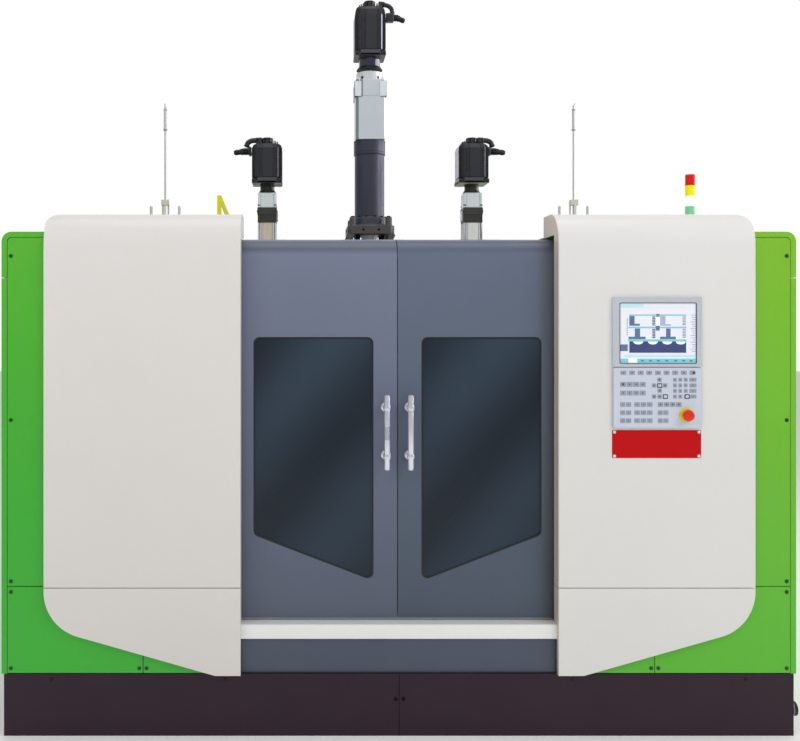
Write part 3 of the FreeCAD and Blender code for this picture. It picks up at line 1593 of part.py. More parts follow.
def extruder():
    """Lifting platform on four columns, with die head, barrel, hopper and drive."""
    low = size("platform_bottom")
    high = low + size("platform_thickness")
    neck = size("platform_neck")
    wide = size("platform_half_width")
    step = size("front_column") - size("bush_diameter")
    body = new_body("Platform")
    outline = [
        (-neck, -size("platform_front")),
        (neck, -size("platform_front")),
        (neck, step),
        (wide, step),
        (wide, size("platform_rear")),
        (-wide, size("platform_rear")),
        (-wide, step),
        (-neck, step),
    ]
    pad(body, "XY_Plane", outline, size("platform_thickness"))
    place(body, 0, 0, low)
    bushes = []
    bores = [upright("HeadHole", size("head_diameter") + 20, (low - 1, high + 1))]
    rows = (size("front_column"), size("rear_column"))
    columns = [(side * size("column_reach"), row) for side in (-1, 1) for row in rows]
    for i, (x, y) in enumerate(columns):
        bush_z = (high, high + size("bush_height"))
        bush = upright(f"Bush{i}", size("bush_diameter"), bush_z, x, y)
        fit = upright(f"BushBore{i}", size("column_diameter") + 2 * slide, (high - 1, bush_z[1] + 1), x, y)
        bushes.append(cut(f"BoredBush{i}", bush, fit))
        clear = size("column_diameter") + 2 * size("column_clearance")
        bores.append(upright(f"ColumnHole{i}", clear, (low - 1, high + 1), x, y))
    yoke_x = size("platform_neck") - 50
    axis_z = high + size("barrel_rise")
    head_bottom = low - size("head_drop")
    head_top = axis_z + size("head_rise")
    yoke = head_top + size("yoke_clearance")
    yoke_parts = [
        box("YokeBar", (-yoke_x - 30, yoke_x + 30), (-40, 40), (yoke, yoke + 50)),
        upright("LiftRod", size("lift_rod"), (yoke + 50, size("lift_tube_top") - size("lift_rod_margin"))),
    ]
    for side in (-1, 1):
        yoke_parts.append(
            box(f"YokeLeg{side + 1}", (side * (yoke_x - 20), side * (yoke_x + 20)), (-40, 40), (high, yoke))
        )
    saddles = []
    saddle_half = size("saddle_width") / 2
    saddle_y = size("saddle_thickness") / 2
    for i, y in enumerate((size("front_saddle"), size("barrel_rear") - 100)):
        saddle_z = (high, axis_z - size("barrel_diameter") / 2)
        saddle_ends = (-saddle_half, saddle_half)
        saddles.append(box(f"Saddle{i}", saddle_ends, (y - saddle_y, y + saddle_y), saddle_z))
    plate = cut("PlatformPlate", body, *bores)
    yoke_frame = fuse("Yoke", *yoke_parts)
    part("extruder_platform", group("PlatformParts", plate, yoke_frame, *bushes, *saddles))

    head = [
        upright("HeadBody", size("head_diameter"), (head_bottom + 50, head_top)),
        upright("DieRing", size("head_diameter") * 0.7, (head_bottom, head_bottom + 50)),
    ]
    bracket_z = (high, high + 25)
    head.append(box("HeadBracket", (-yoke_x + 20, yoke_x - 20), (-35, 35), bracket_z))
    part("die_head", fuse("DieHead", *head))

    neck_y = size("head_diameter") / 2
    rear = size("barrel_rear")
    barrel = [
        bar("Barrel", "y", rear - neck_y, size("barrel_diameter"), 0, neck_y, axis_z),
    ]
    for i in range(5):
        y = size("heater_front") + i * size("heater_pitch")
        if i > 0:
            y = y + size("heater_break")
        barrel.append(bar(f"Heater{i}", "y", size("heater_width"), size("heater_diameter"), 0, y, axis_z))
    throat = size("hopper_middle")
    throat_top = axis_z + size("barrel_diameter") / 2 + 90
    barrel.append(box("Throat", (-60, 60), (throat - 60, throat + 60), (axis_z, throat_top)))
    cone = doc.addObject("Part::Cone", "HopperCone")
    bind(cone, "Radius1", 55)
    bind(cone, "Radius2", size("hopper_width") / 2)
    bind(cone, "Height", size("hopper_cone"))
    place(cone, 0, throat, throat_top)
    barrel.append(cone)
    lid_z = (size("hopper_top") - 12, size("hopper_top"))
    drum_z = (throat_top + size("hopper_cone"), lid_z[0])
    barrel.append(upright("HopperDrum", size("hopper_width"), drum_z, 0, throat))
    barrel.append(upright("HopperLid", size("hopper_width") + 12, lid_z, 0, throat))
    part("extruder_barrel", fuse("BarrelParts", *barrel))

    gear_half = size("gearbox_width") / 2
    gear_y = (rear, rear + size("gearbox_depth"))
    gearbox_top = high + size("gearbox_height")
    drive = [
        box("Gearbox", (-gear_half, gear_half), gear_y, (high, gearbox_top)),
        upright(
            "DriveMotor",
            size("drive_motor_diameter"),
            (gearbox_top, gearbox_top + size("drive_motor_height")),
            0,
            rear + size("gearbox_depth") / 2,
        ),
    ]
    part("extruder_drive", fuse("DriveParts", *drive))


# ---------------------------------------------------------------- operator panel


def operator_panel():
    """Silver housing through the right cover, with screen, membrane keypad and emergency stop."""
    x = (size("panel_left"), size("panel_right"))
    z = (size("panel_bottom"), size("panel_top"))
    proud = front - size("panel_proud")
    rim = size("panel_rim")
    bezel = box("PanelBezel", x, (proud, front), z)
    back_box = box(
        "PanelBox",
        (x[0] + rim, x[1] - rim),
        (front, front + size("panel_box_depth")),
        (z[0] + rim, z[1] - rim),
    )
    screen_x = (size("screen_left"), size("screen_right"))
    screen_z = (size("screen_bottom"), size("screen_top"))
    recess_y = (proud + size("screen_recess"), proud + size("panel_proud") - 1)
    screen_recess = box("ScreenRecess", screen_x, (proud - 1, recess_y[1]), screen_z)
    split = size("panel_split")
    groove = box("PanelGroove", (x[0] - 1, x[1] + 1), (proud - 1, proud + 2), (split - 1, split + 1))
    estop_x = size("estop_x")
    estop_z = size("estop_z")
    bore_y = (proud - 1, front + 20)
    bore = size("estop_stem") + 4
    stem_bore = bar("StopBore", "y", bore_y[1] - bore_y[0], bore, estop_x, bore_y[0], estop_z)
    shell_wall = 4
    hollow = box(
        "PanelHollow",
        (x[0] + rim + shell_wall, x[1] - rim - shell_wall),
        (front + shell_wall, front + size("panel_box_depth") - shell_wall),
        (z[0] + rim + shell_wall, z[1] - rim - shell_wall),
    )
    blank = fuse("PanelBlank", bezel, back_box)
    housing = cut("HmiHousing", blank, hollow, screen_recess, groove, stem_bore)
    part("hmi_housing", housing)
    part("hmi_screen", box("HmiScreen", screen_x, recess_y, screen_z))

    sheet_y = (proud - size("keypad_thickness"), proud)
    inset = 3
    keypad = box("KeypadSheet", (x[0] + inset, x[1] - inset), sheet_y, (z[0] + inset, split - inset))
    collar_y = sheet_y[0] - size("estop_collar_depth")
    stem = size("estop_stem") + 2 * slide
    hole = bar(
        "KeypadHole", "y", proud - collar_y + 1, stem, estop_x, collar_y - 0.5, estop_z
    )
    collar = bar(
        "StopCollar", "y", size("estop_collar_depth"), size("estop_collar"), estop_x, collar_y, estop_z
    )
    keys = key_rows(sheet_y[0])
    part("keypad_panel", cut("KeypadPanel", fuse("KeypadBlank", keypad, collar, *keys), hole))

    head_y = collar_y - size("estop_travel") - 2
    head = bar("StopHead", "-y", 20, size("estop_head"), estop_x, head_y, estop_z)
    stem_bar = bar(
        "StopStem", "y", front + 8 - head_y, size("estop_stem"), estop_x, head_y, estop_z
    )
    part("estop_button", fuse("StopButton", head, stem_bar))

    sign = box(
        "RedPlate", x, (front - size("sign_thickness"), front), (size("sign_bottom"), size("sign_top"))
    )
    part("red_plate", sign)


def key_rows(face):
    """Raised key fields of the membrane keypad."""
    keys = []
    left = size("panel_left")
    top = size("panel_split")
    y = (face - 1, face)
    fields = [
        (24, 316, 18, 34),
        (24, 128, 62, 80),
        (24, 128, 96, 114),
        (238, 324, 44, 124),
        (156, 204, 44, 124),
        (24, 70, 140, 160),
        (82, 156, 140, 160),
        (172, 270, 140, 160),
        (24, 70, 172, 192),
        (82, 156, 172, 192),
        (172, 218, 172, 192),
        (24, 70, 204, 224),
        (82, 156, 204, 224),
        (172, 218, 204, 224),
    ]
    for x0, x1, z0, z1 in fields:
        keys.append(box("KeyField", (left + x0, left + x1), y, (top - z0, top - z1)))
    return keys


# ---------------------------------------------------------------- signal tower


def signal_tower():
    """Foot on the roof with four lens modules and a cap."""
    x = size("tower_x")
    y = front + size("tower_setback")
    diameter = size("tower_diameter")
    foot_top = size("tower_foot_top")
    foot = [
        upright("TowerFlange", diameter * 1.6, (roof, roof + 8), x, y),
        upright("TowerFoot", diameter * 0.8, (roof + 8, foot_top - 10), x, y),
        upright("TowerBase", diameter * 1.1, (foot_top - 10, foot_top), x, y),
    ]
    part("signal_base", fuse("SignalBase", *foot))
    low = foot_top
    for colour in ("green", "clear", "yellow", "red"):
        high = low + size("lens_height")
        lens = [upright(f"Lens_{colour}", diameter, (low, high - size("lens_gap")), x, y)]
        rim = 0.92
        lens.append(
            upright(f"LensJoint_{colour}", diameter * rim, (high - size("lens_gap"), high), x, y)
        )
        part(f"signal_{colour}", fuse(f"Signal_{colour}", *lens))
        low = high


# ---------------------------------------------------------------- build, test and export

plinth()
main_frame()
machine_bed()
for side_name, side in SIDES.items():
    front_cover(side_name, side)
    lower_cover(side_name, side)
    front_panels(side_name, side)
    side_cover(side_name, side)
    roof_cover(side_name, side)
    door(side_name, side)
    door_handle(side_name, side)
    carriage(side_name, side)
    clamp_frame(side_name, side)
    moving_platen(side_name, side)
    pinion(side_name, side)
    blow_unit(side_name, side)
    blow_head(side_name, side)
    trim_unit(side_name, side)
    trim_head(side_name, side)
rear_cover()
sill_and_kick()
door_tracks()
lift_stack()
extruder()
operator_panel()
signal_tower()

doc.recompute()
for thing in doc.Objects:
    if "Invalid" in thing.State or "Error" in thing.State:
        raise RuntimeError(f"{thing.Name} failed: {thing.State}")

os.makedirs("parts", exist_ok=True)
for node, shape in node_shapes.items():
    solid = shape.Shape
    if solid.isNull() or not solid.isValid() or not solid.Solids:
        raise RuntimeError(f"{node} is not a valid solid")
    solid.exportStep(f"parts/{node}.step")
    print(f"{node}: {len(solid.Solids)} solids, {solid.Volume / 1e6:.1f} litres")
print(f"{len(node_shapes)} nodes")
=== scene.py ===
import math

import bmesh
import bpy
from mathutils import Matrix, Vector

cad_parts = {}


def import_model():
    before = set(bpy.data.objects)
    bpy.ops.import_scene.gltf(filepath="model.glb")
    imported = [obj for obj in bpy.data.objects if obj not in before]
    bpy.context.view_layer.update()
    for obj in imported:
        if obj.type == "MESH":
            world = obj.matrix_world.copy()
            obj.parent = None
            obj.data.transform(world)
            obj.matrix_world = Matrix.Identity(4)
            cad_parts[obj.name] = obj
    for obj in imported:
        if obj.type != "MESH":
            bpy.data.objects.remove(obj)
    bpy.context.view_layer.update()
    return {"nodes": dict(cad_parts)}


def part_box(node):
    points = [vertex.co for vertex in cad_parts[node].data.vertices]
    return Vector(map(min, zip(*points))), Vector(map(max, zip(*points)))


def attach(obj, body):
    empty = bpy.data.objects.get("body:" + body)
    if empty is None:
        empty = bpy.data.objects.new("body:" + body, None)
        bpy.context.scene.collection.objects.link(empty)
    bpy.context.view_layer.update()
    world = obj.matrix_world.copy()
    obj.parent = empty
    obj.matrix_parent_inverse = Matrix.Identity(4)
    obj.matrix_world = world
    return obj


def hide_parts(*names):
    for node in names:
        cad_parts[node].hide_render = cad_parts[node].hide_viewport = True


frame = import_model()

# Lengths are in metres. The front looks along -y, and the photograph's left side is at -x.
X, Y, Z = 0, 1, 2
UP = (0, 0, 1)
FORWARD = (0, -1, 0)
SIDES = (("left", -1), ("right", 1))
ROOT = "machine"


def low_end(node, axis):
    """Where a CAD node begins along an axis, to a tenth of a millimetre."""
    return round(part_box(node)[0][axis], 4)


def middle_of(node, axis):
    """The middle of a CAD node along an axis, to a tenth of a millimetre."""
    low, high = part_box(node)
    return round(0.5 * (low[axis] + high[axis]), 4)


FRONT = low_end("right_front_cover", Y)
PANEL_FRONT = low_end("plinth", Y)
DOOR_FRONT = low_end("left_door_panel", Y)
PITCH = middle_of("right_blow_cylinder", X)


# ---------------------------------------------------------------- materials


def linear(*rgb):
    """An sRGB colour of 0 to 255 as linear RGBA."""

    def channel(value):
        value /= 255
        return value / 12.92 if value <= 0.04045 else ((value + 0.055) / 1.055) ** 2.4

    return [channel(v) for v in rgb] + [1]


def tinted(colour, factor):
    """The colour made lighter or darker."""
    return [min(1, c * factor) for c in colour[:3]] + [1]


class Nodes:
    """A material's node tree, with short calls to add nodes to it."""

    def __init__(self, name):
        self.material = bpy.data.materials.new(name)
        self.material.use_nodes = True
        self.tree = self.material.node_tree
        self.shader = self.tree.nodes["Principled BSDF"]
        self.coords = self.add("ShaderNodeTexCoord").outputs["Object"]

    def add(self, kind, **inputs):
        node = self.tree.nodes.new(kind)
        for key, value in inputs.items():
            self.set(node.inputs[key.replace("_", " ")], value)
        return node

    def set(self, socket, value):
        if isinstance(value, bpy.types.NodeSocket):
            self.tree.links.new(value, socket)
        else:
            socket.default_value = value

    def noise(self, scale, detail, stretch=None, rough=0.5):
        vector = self.coords
        if stretch:
            vector = self.add("ShaderNodeMapping", Vector=vector, Scale=stretch).outputs["Vector"]
        node = self.add("ShaderNodeTexNoise", Vector=vector, Scale=scale, Detail=detail, Roughness=rough)
        return node.outputs["Fac"]

    def spread(self, value, low, high, start=0.3, end=0.7):
        """Values from start to end, brought to low to high."""
        node = self.add("ShaderNodeMapRange", Value=value)
        for key, number in (("From Min", start), ("From Max", end), ("To Min", low), ("To Max", high)):
            node.inputs[key].default_value = number
        return node.outputs["Result"]

    def along(self, axis, start, end):
        """0 before start and 1 past end, along an axis of the object."""
        split = self.add("ShaderNodeSeparateXYZ", Vector=self.coords)
        return self.spread(split.outputs[axis], 0, 1, start, end)

    def mix(self, factor, first, second, blend="MIX"):
        node = self.tree.nodes.new("ShaderNodeMix")
        node.data_type = "RGBA"
        node.blend_type = blend
        self.set(node.inputs["Factor"], factor)
        self.set(node.inputs[6], first)
        self.set(node.inputs[7], second)
        return node.outputs[2]

    def multiply(self, first, second):
        return self.mix(1.0, first, second, "MULTIPLY")

    def surface(self, height, strength, distance, edge):
        """Normals with a bump over softened edges."""
        bevel = self.add("ShaderNodeBevel", Radius=edge)
        bevel.samples = 4
        bump = self.add("ShaderNodeBump", Height=height, Strength=strength, Distance=distance)
        self.set(bump.inputs["Normal"], bevel.outputs["Normal"])
        return bump.outputs["Normal"]

    def finish(self, **inputs):
        for key, value in inputs.items():
            self.set(self.shader.inputs[key.replace("_", " ")], value)
        return self.material


WHITE = [1, 1, 1, 1]


def paint(
    name, rgb, rough=0.38, tone=0.05, peel=0.10, edge=0.0015, coat=0.0, shine=0.5,
    shade_below=None, jamb_shade=None, behind=None, roll_reflection=None,
):
    """Powder coat: slight change of tone, orange peel, uneven gloss and softened edges.

    The height tint (from z, to z, tint below) is painted shade towards the bottom; the jamb tint (from x, to
    x, tint before them) is painted shade towards a jamb; behind is (from y, to y, tint past them), which
    takes a painted lighter front back to the plain colour on sides and roof; and the roll tint (tint, four
    heights where it comes and goes) is a painted dark reflection band below a rolled top.
    """
    n = Nodes(name)
    colour = linear(*rgb)
    base = n.mix(n.spread(n.noise(1.7, 4), 0, 1), tinted(colour, 1 - tone), tinted(colour, 1 + tone))
    base = n.mix(n.spread(n.noise(42, 5), 0, 0.25), base, tinted(colour, 1 - 2 * tone))
    # Painted shade: darker towards the bottom.
    if shade_below:
        start, end, tint = shade_below
        base = n.multiply(base, n.mix(n.along("Z", start, end), [*tint, 1], WHITE))
    # Painted shade: darker towards a jamb.
    if jamb_shade:
        start, end, tint = jamb_shade
        base = n.multiply(base, n.mix(n.along("X", start, end), [*tint, 1], WHITE))
    # Past y the tint takes a painted lighter front strip back to the plain colour.
    if behind:
        start, end, tint = behind
        base = n.multiply(base, n.mix(n.along("Y", start, end), WHITE, [*tint, 1]))
    # A painted dark reflection band below a rolled top.
    if roll_reflection:
        tint, start, full, fading, end = roll_reflection
        band = n.mix(n.along("Z", fading, end), [*tint, 1], WHITE)
        base = n.multiply(base, n.mix(n.along("Z", start, full), WHITE, band))
    normal = n.surface(n.noise(420, 2), peel, 0.0004, edge)
    gloss = n.spread(n.noise(9, 5), rough - 0.05, rough + 0.07)
    return n.finish(
        Base_Color=base, Roughness=gloss, Normal=normal, Coat_Weight=coat, Specular_IOR_Level=shine
    )


def metal(name, rgb, rough, grain, scale, depth, tone, metallic=1.0, coat=0.0):
    """Machined or ground metal: fine lines along the grain, uneven gloss and faint stains."""
    n = Nodes(name)
    colour = linear(*rgb)
    lines = n.noise(scale, 4, grain, 0.7)
    stains = n.noise(6, 5)
    base = n.mix(n.spread(stains, 0, 1), tinted(colour, 1 - tone), tinted(colour, 1 + tone * 0.5))
    base = n.mix(n.spread(lines, 0, 0.35), base, tinted(colour, 0.75))
    gloss = n.spread(lines, rough - 0.06, rough + 0.12)
    normal = n.surface(lines, depth, 0.0003, 0.001)
    return n.finish(Base_Color=base, Roughness=gloss, Metallic=metallic, Normal=normal, Coat_Weight=coat)


def plastic(name, rgb, rough=0.3, tone=0.05, glow=0.0):
    """Moulded plastic: faint mottling and a fine grain; glow is how much light it gives off."""
    n = Nodes(name)
    colour = linear(*rgb)
    base = n.mix(n.spread(n.noise(25, 4), 0, 1), tinted(colour, 1 - tone), tinted(colour, 1 + tone))
    normal = n.surface(n.noise(900, 2), 0.06, 0.0002, 0.0006)
    gloss = n.spread(n.noise(60, 3), rough - 0.04, rough + 0.06)
    n.finish(Base_Color=base, Roughness=gloss, Normal=normal)
    if glow:
        n.finish(Emission_Color=colour, Emission_Strength=glow)
    return n.material


def window_glass(name):
    """Dark tinted safety glass with faint smears, painted light that makes it darker towards the bottom, and
    a broad slanted painted reflection.
    """
    slant = -0.71
    n = Nodes(name)
    smear = n.noise(3.2, 6, (1, 1, 0.35), 0.65)
    # Painted light: the glass is darker towards the bottom and lighter towards the top.
    deep = n.mix(n.along("Z", 0.9, 1.6), linear(30, 44, 58), linear(47, 60, 73))
    base = n.mix(n.spread(smear, 0, 0.4), deep, linear(32, 46, 58))
    # A broad slanted band of painted reflection across the glass.
    turned = n.add("ShaderNodeMapping", Vector=n.coords, Rotation=(0, slant, 0))
    turned = turned.outputs["Vector"]
    wave = n.add("ShaderNodeTexWave", Vector=turned, Scale=0.63, Distortion=0.8, Detail=1, Phase_Offset=5.83)
    painted_reflection = n.mix(n.spread(wave.outputs["Fac"], 0, 1, 0, 1), [0.56, 0.57, 0.6, 1], [1.48, 1.45, 1.45, 1])
    gloss = n.spread(smear, 0.06, 0.16)
    return n.finish(Base_Color=n.multiply(base, painted_reflection), Roughness=gloss, Alpha=0.97, Specular_IOR_Level=0.3)


COVER = {"tone": 0.015, "peel": 0.08, "coat": 0.1}
# The cream covers are painted darker towards the bottom (painted shade). The right cover is a lighter copy of
# the same cream (painted light), with painted shade on its inner side at the jamb.
CREAM = paint("cream_powder_coat", (238, 235, 231), 0.36, shade_below=(0.3, 2.1, (0.88, 0.865, 0.855)), **COVER)
CREAM_RIGHT_LIT = paint(
    "right_cream_lit_powder_coat", (241, 240, 238), 0.36,
    shade_below=(0.3, 2.1, (0.905, 0.90, 0.885)), jamb_shade=(0.637, 0.6385, (0.77, 0.68, 0.56)), **COVER,
)
CREAM_SILL = paint("sill_powder_coat", (245, 245, 243), 0.4, 0.012, 0.08)

PANEL = {"tone": 0.03, "peel": 0.08, "coat": 0.1}
GREEN = paint("green_powder_coat", (86, 188, 46), 0.34, **PANEL)
# The green covers and panels are painted darker and less yellow towards the bottom: painted shade.
LEFT_SHADE_BELOW = (0.9, 2.0, (0.38, 0.91, 0.87))
GREEN_LEFT = paint("left_green_powder_coat", (89, 188, 46), 0.34, shade_below=LEFT_SHADE_BELOW, **PANEL)
# The right green is a lighter, yellower copy of the same green paint: painted light, and painted shade
# towards the bottom.
LIT_LIME = (133, 199, 43)
LIT_LIME_SHADE_BELOW = (0.3, 2.0, (0.42, 0.89, 0.79))
GREEN_RIGHT_LIT = paint("right_green_lit_powder_coat", LIT_LIME, 0.34, shade_below=LIT_LIME_SHADE_BELOW, **PANEL)
# The right covers' front strip has the painted light of the panels beside it; past it their sides and roof
# are tinted back to the left covers' green.
GREEN_RIGHT_COVER_LIT = paint(
    "right_cover_lit_powder_coat", LIT_LIME, 0.34, shade_below=LIT_LIME_SHADE_BELOW, behind=(-1.611, -1.604, (0.4, 0.89, 1.12)), **PANEL
)
GREEN_SCREW = paint("green_screw_coat", (14, 84, 14), 0.3, 0.05, 0.05, 0.0005)

# Both doors are painted darker towards the bottom (painted shade) and carry a painted dark reflection band
# below their rolled top. The left door is a lighter copy of the same blue (painted light); the right is a
# darker copy (painted shade) that darkens further towards its jamb.
DOOR = {"rough": 0.33, "tone": 0.03, "peel": 0.1, "shade_below": (0.4, 2.0, (0.41, 0.45, 0.46))}
DOOR_ROLL_REFLECTION = (1.942, 1.966, 1.994, 2.008)
DOOR_LEFT_LIT = paint("left_door_lit_powder_coat", (124, 131, 155), roll_reflection=((0.6, 0.6, 0.61), *DOOR_ROLL_REFLECTION), **DOOR)
DOOR_RIGHT_SHADED = paint(
    "right_door_shaded_powder_coat", (104, 116, 137),
    jamb_shade=(0.64, 0.57, (0.74, 0.66, 0.56)), roll_reflection=((0.8, 0.74, 0.82), *DOOR_ROLL_REFLECTION), **DOOR,
)

KICK_BLUE = paint("kick_powder_coat", (73, 83, 100), 0.38, 0.03, 0.1)
PLINTH = paint("plinth_enamel", (42, 20, 36), 0.42, 0.08, 0.12, shine=0.35)
FRAME = paint("frame_enamel", (188, 192, 194), 0.4, 0.04, 0.12)
BED = paint("bed_enamel", (120, 126, 132), 0.42, 0.06, 0.12)
DRIVE = paint("drive_enamel", (74, 92, 122), 0.4, 0.06, 0.15)
CHARCOAL = paint("motor_enamel", (50, 50, 57), 0.3, 0.08, 0.1, 0.0006)
# Darker than the motor enamel: painted shade in the housing's grooves between the fins.
MOTOR_GROOVE_SHADE = paint("motor_groove_shade_enamel", (32, 32, 37), 0.42, 0.08, 0.1, 0.0006, shine=0.35)
# The lighter bands on the flanges; on the side motors also a painted highlight on the facets that face +x.
MOTOR_BAND_AND_HIGHLIGHT = paint("motor_band_and_highlight_enamel", (80, 77, 86), 0.34, 0.08, 0.1, 0.0006)
SIDE_NECK = paint("side_neck_enamel", (54, 54, 52), 0.26, 0.08, 0.05, 0.001)
CAST_GREY = paint("cast_foot_enamel", (80, 77, 77), 0.46, 0.1, 0.3, 0.002)
RING_GREY = paint("foot_ring_enamel", (66, 71, 76), 0.34, 0.08, 0.08, 0.001)
RED_SIGN = paint("red_plate_enamel", (204, 2, 10), 0.42, 0.03, 0.05, 0.0005, shine=0.2)
YELLOW = paint("yellow_enamel", (250, 232, 2), 0.4, 0.05, 0.1)

# A grain is the scale of a metal's lines along x, y and z: below 1 they are drawn out, above 1 pressed.
EVEN = (1, 1, 1)
UPRIGHT = (1, 1, 0.1)
FINE_UPRIGHT = (1, 1, 0.05)
# A painted highlight: the lighter, shinier strip on the centre motor's facets that face +x.
MOTOR_FACET_HIGHLIGHT = metal("motor_facet_highlight_metal", (122, 122, 134), 0.14, FINE_UPRIGHT, 200, 0.05, 0.05)
# A painted sheen on the right motor's fins that face -x.
MOTOR_SHEEN = metal("motor_side_painted_sheen", (206, 202, 224), 0.3, (1, 0.05, 1), 200, 0.1, 0.08, 0.35)
# A lighter copy for the right motor's underside plate: painted light.
MOTOR_UNDERSIDE_LIT = metal("motor_underside_lit_metal", (226, 206, 192), 0.36, EVEN, 200, 0.1, 0.06, 0.15)
GLOSS_DARK = metal("cylinder_enamel", (78, 79, 96), 0.42, UPRIGHT, 120, 0.04, 0.08, 0.6, 0.1)
NECK_ENAMEL = metal("neck_metal", (74, 69, 90), 0.1, UPRIGHT, 120, 0.02, 0.06, 0.95, 1.0)
SILVER = metal("silver_housing_metal", (226, 233, 242), 0.36, FINE_UPRIGHT, 220, 0.08, 0.04, 0.3)
# Painted shade on the gear housing's left chamfer and in the groove beside its left lug.
CHAMFER_SHADE = metal("shaded_housing_metal", (150, 157, 162), 0.4, FINE_UPRIGHT, 220, 0.08, 0.04, 0.2)
BRIGHT_STEEL = metal("bright_machined_metal", (232, 235, 240), 0.26, UPRIGHT, 200, 0.08, 0.04, 0.35)
PALE_STEEL = metal("pale_machined_metal", (242, 246, 254), 0.34, UPRIGHT, 200, 0.06, 0.03, 0.12)
PROFILE = metal("profile_metal", (232, 234, 238), 0.34, (1, 1, 0.04), 320, 0.12, 0.06, 0.2)
GROUND = metal("ground_steel", (186, 188, 190), 0.26, (0.05, 1, 1), 260, 0.12, 0.08)
TURNED = metal("turned_steel", (196, 198, 200), 0.22, (1, 1, 14), 60, 0.1, 0.08, 0.6)
STAINLESS = metal("satin_stainless", (205, 206, 208), 0.2, (1, 1, 10), 90, 0.08, 0.06)
BLACK_STEEL = metal("blackened_steel", (38, 37, 38), 0.42, EVEN, 160, 0.2, 0.2)
TRIM_ROD = metal("trim_rod_metal", (216, 216, 218), 0.32, (1, 1, 10), 90, 0.06, 0.04, 0.15)
TRIM_BLOCK = metal("trim_block_metal", (232, 224, 210), 0.4, EVEN, 160, 0.08, 0.05, 0.1)
HANDLE_STEEL = metal("handle_steel", (236, 236, 248), 0.16, UPRIGHT, 120, 0.04, 0.03, 0.65)
KNURL = metal("knurled_black_metal", (46, 44, 52), 0.24, EVEN, 700, 0.5, 0.2, 0.5)
BEZEL = metal("anodised_bezel", (212, 218, 226), 0.38, (0.1, 1, 1), 380, 0.08, 0.04, 0.2)
HOT_STEEL = metal("heat_toned_steel", (150, 138, 122), 0.32, (1, 1, 6), 80, 0.15, 0.2)
BRONZE_BLOCK = metal("browned_block", (74, 72, 70), 0.4, (1, 1, 0.2), 120, 0.2, 0.12, 0.3)

CONE_BLACK = plastic("black_cone_plastic", (26, 24, 30), 0.5, 0.1)
CAP_BROWN = plastic("motor_cap_plastic", (52, 42, 42), 0.36)
RUBBER = plastic("black_rubber", (30, 30, 32), 0.5, 0.1)
TAN = plastic("tan_seal_strip", (212, 197, 176), 0.5, 0.06)
PALE_STRIP = plastic("pale_seal_strip", (230, 231, 228), 0.45, 0.04)
GREY_PLASTIC = plastic("grey_plastic", (176, 180, 182), 0.4)
PIPE_GREY = plastic("pipe_grey_plastic", (150, 152, 156), 0.35)
FOIL = plastic("keypad_foil", (212, 221, 235), 0.42, 0.02)
KEY = plastic("key_foil", (160, 167, 182), 0.4, 0.04)
# Dark print and dark small parts, and also painted shade in holes, slots and about the housing's lugs.
DARK_PRINT_AND_SHADE = plastic("dark_print_and_painted_shade", (62, 64, 74), 0.4, 0.04)
STOP_RED = plastic("stop_red_plastic", (232, 44, 16), 0.22)
STOP_YELLOW = plastic("stop_yellow_plastic", (240, 214, 16), 0.3)
LENS = {
    "green": plastic("lens_green_plastic", (150, 218, 176), 0.18, 0.04, 0.16),
    "clear": plastic("lens_clear_plastic", (246, 246, 246), 0.16, 0.02, 0.45),
    "yellow": plastic("lens_yellow_plastic", (248, 236, 10), 0.18, 0.04, 0.25),
    "red": plastic("lens_red_plastic", (222, 14, 12), 0.18, 0.04, 0.25),
}
PANE = window_glass("tinted_window_glass")
SCREEN_BACK = plastic("screen_back", (228, 230, 238), 0.2, 0.01, 0.25)
SCREEN_CYAN = plastic("screen_cyan", (120, 200, 216), 0.2, 0.03, 0.25)
SCREEN_PALE = plastic("screen_pale_cyan", (190, 226, 234), 0.2, 0.02, 0.25)
SCREEN_SLATE = plastic("screen_slate", (92, 118, 150), 0.2, 0.05, 0.2)
SCREEN_DEEP = plastic("screen_deep", (66, 74, 122), 0.2, 0.12, 0.2)
SCREEN_MARK = plastic("screen_mark", (120, 128, 144), 0.2, 0.05, 0.2)
SCREEN_LAVENDER = plastic("screen_lavender", (176, 178, 208), 0.2, 0.03, 0.2)
SCREEN_WHITE = plastic("screen_white", (246, 246, 248), 0.2, 0.01, 0.3)


# ---------------------------------------------------------------- mesh code


def square_faces(piece):
    """Faces that look straight along x, y or z."""
    piece.normal_update()
    return [face for face in piece.faces if max(map(abs, face.normal)) > 0.9995]


def bevel(piece, edges, offset, segments):
    """Round the edges off."""
    bmesh.ops.bevel(piece, geom=edges, offset=offset, segments=segments, affect="EDGES", profile=0.5)


def join(piece, rings):
    """Faces between each ring of points and the next; a ring of one point is a tip."""
    for first, second in zip(rings, rings[1:]):
        count = max(len(first), len(second))
        for i in range(count):
            j = (i + 1) % count
            corners = [first[k % len(first)] for k in (i, j)] + [second[k % len(second)] for k in (j, i)]
            piece.faces.new(tuple(dict.fromkeys(corners)))


def across(u, v, w, axis):
    """The point w along axis, with u and v along the two other axes in x, y, z order."""
    point = [u, v]
    point.insert(axis, w)
    return point


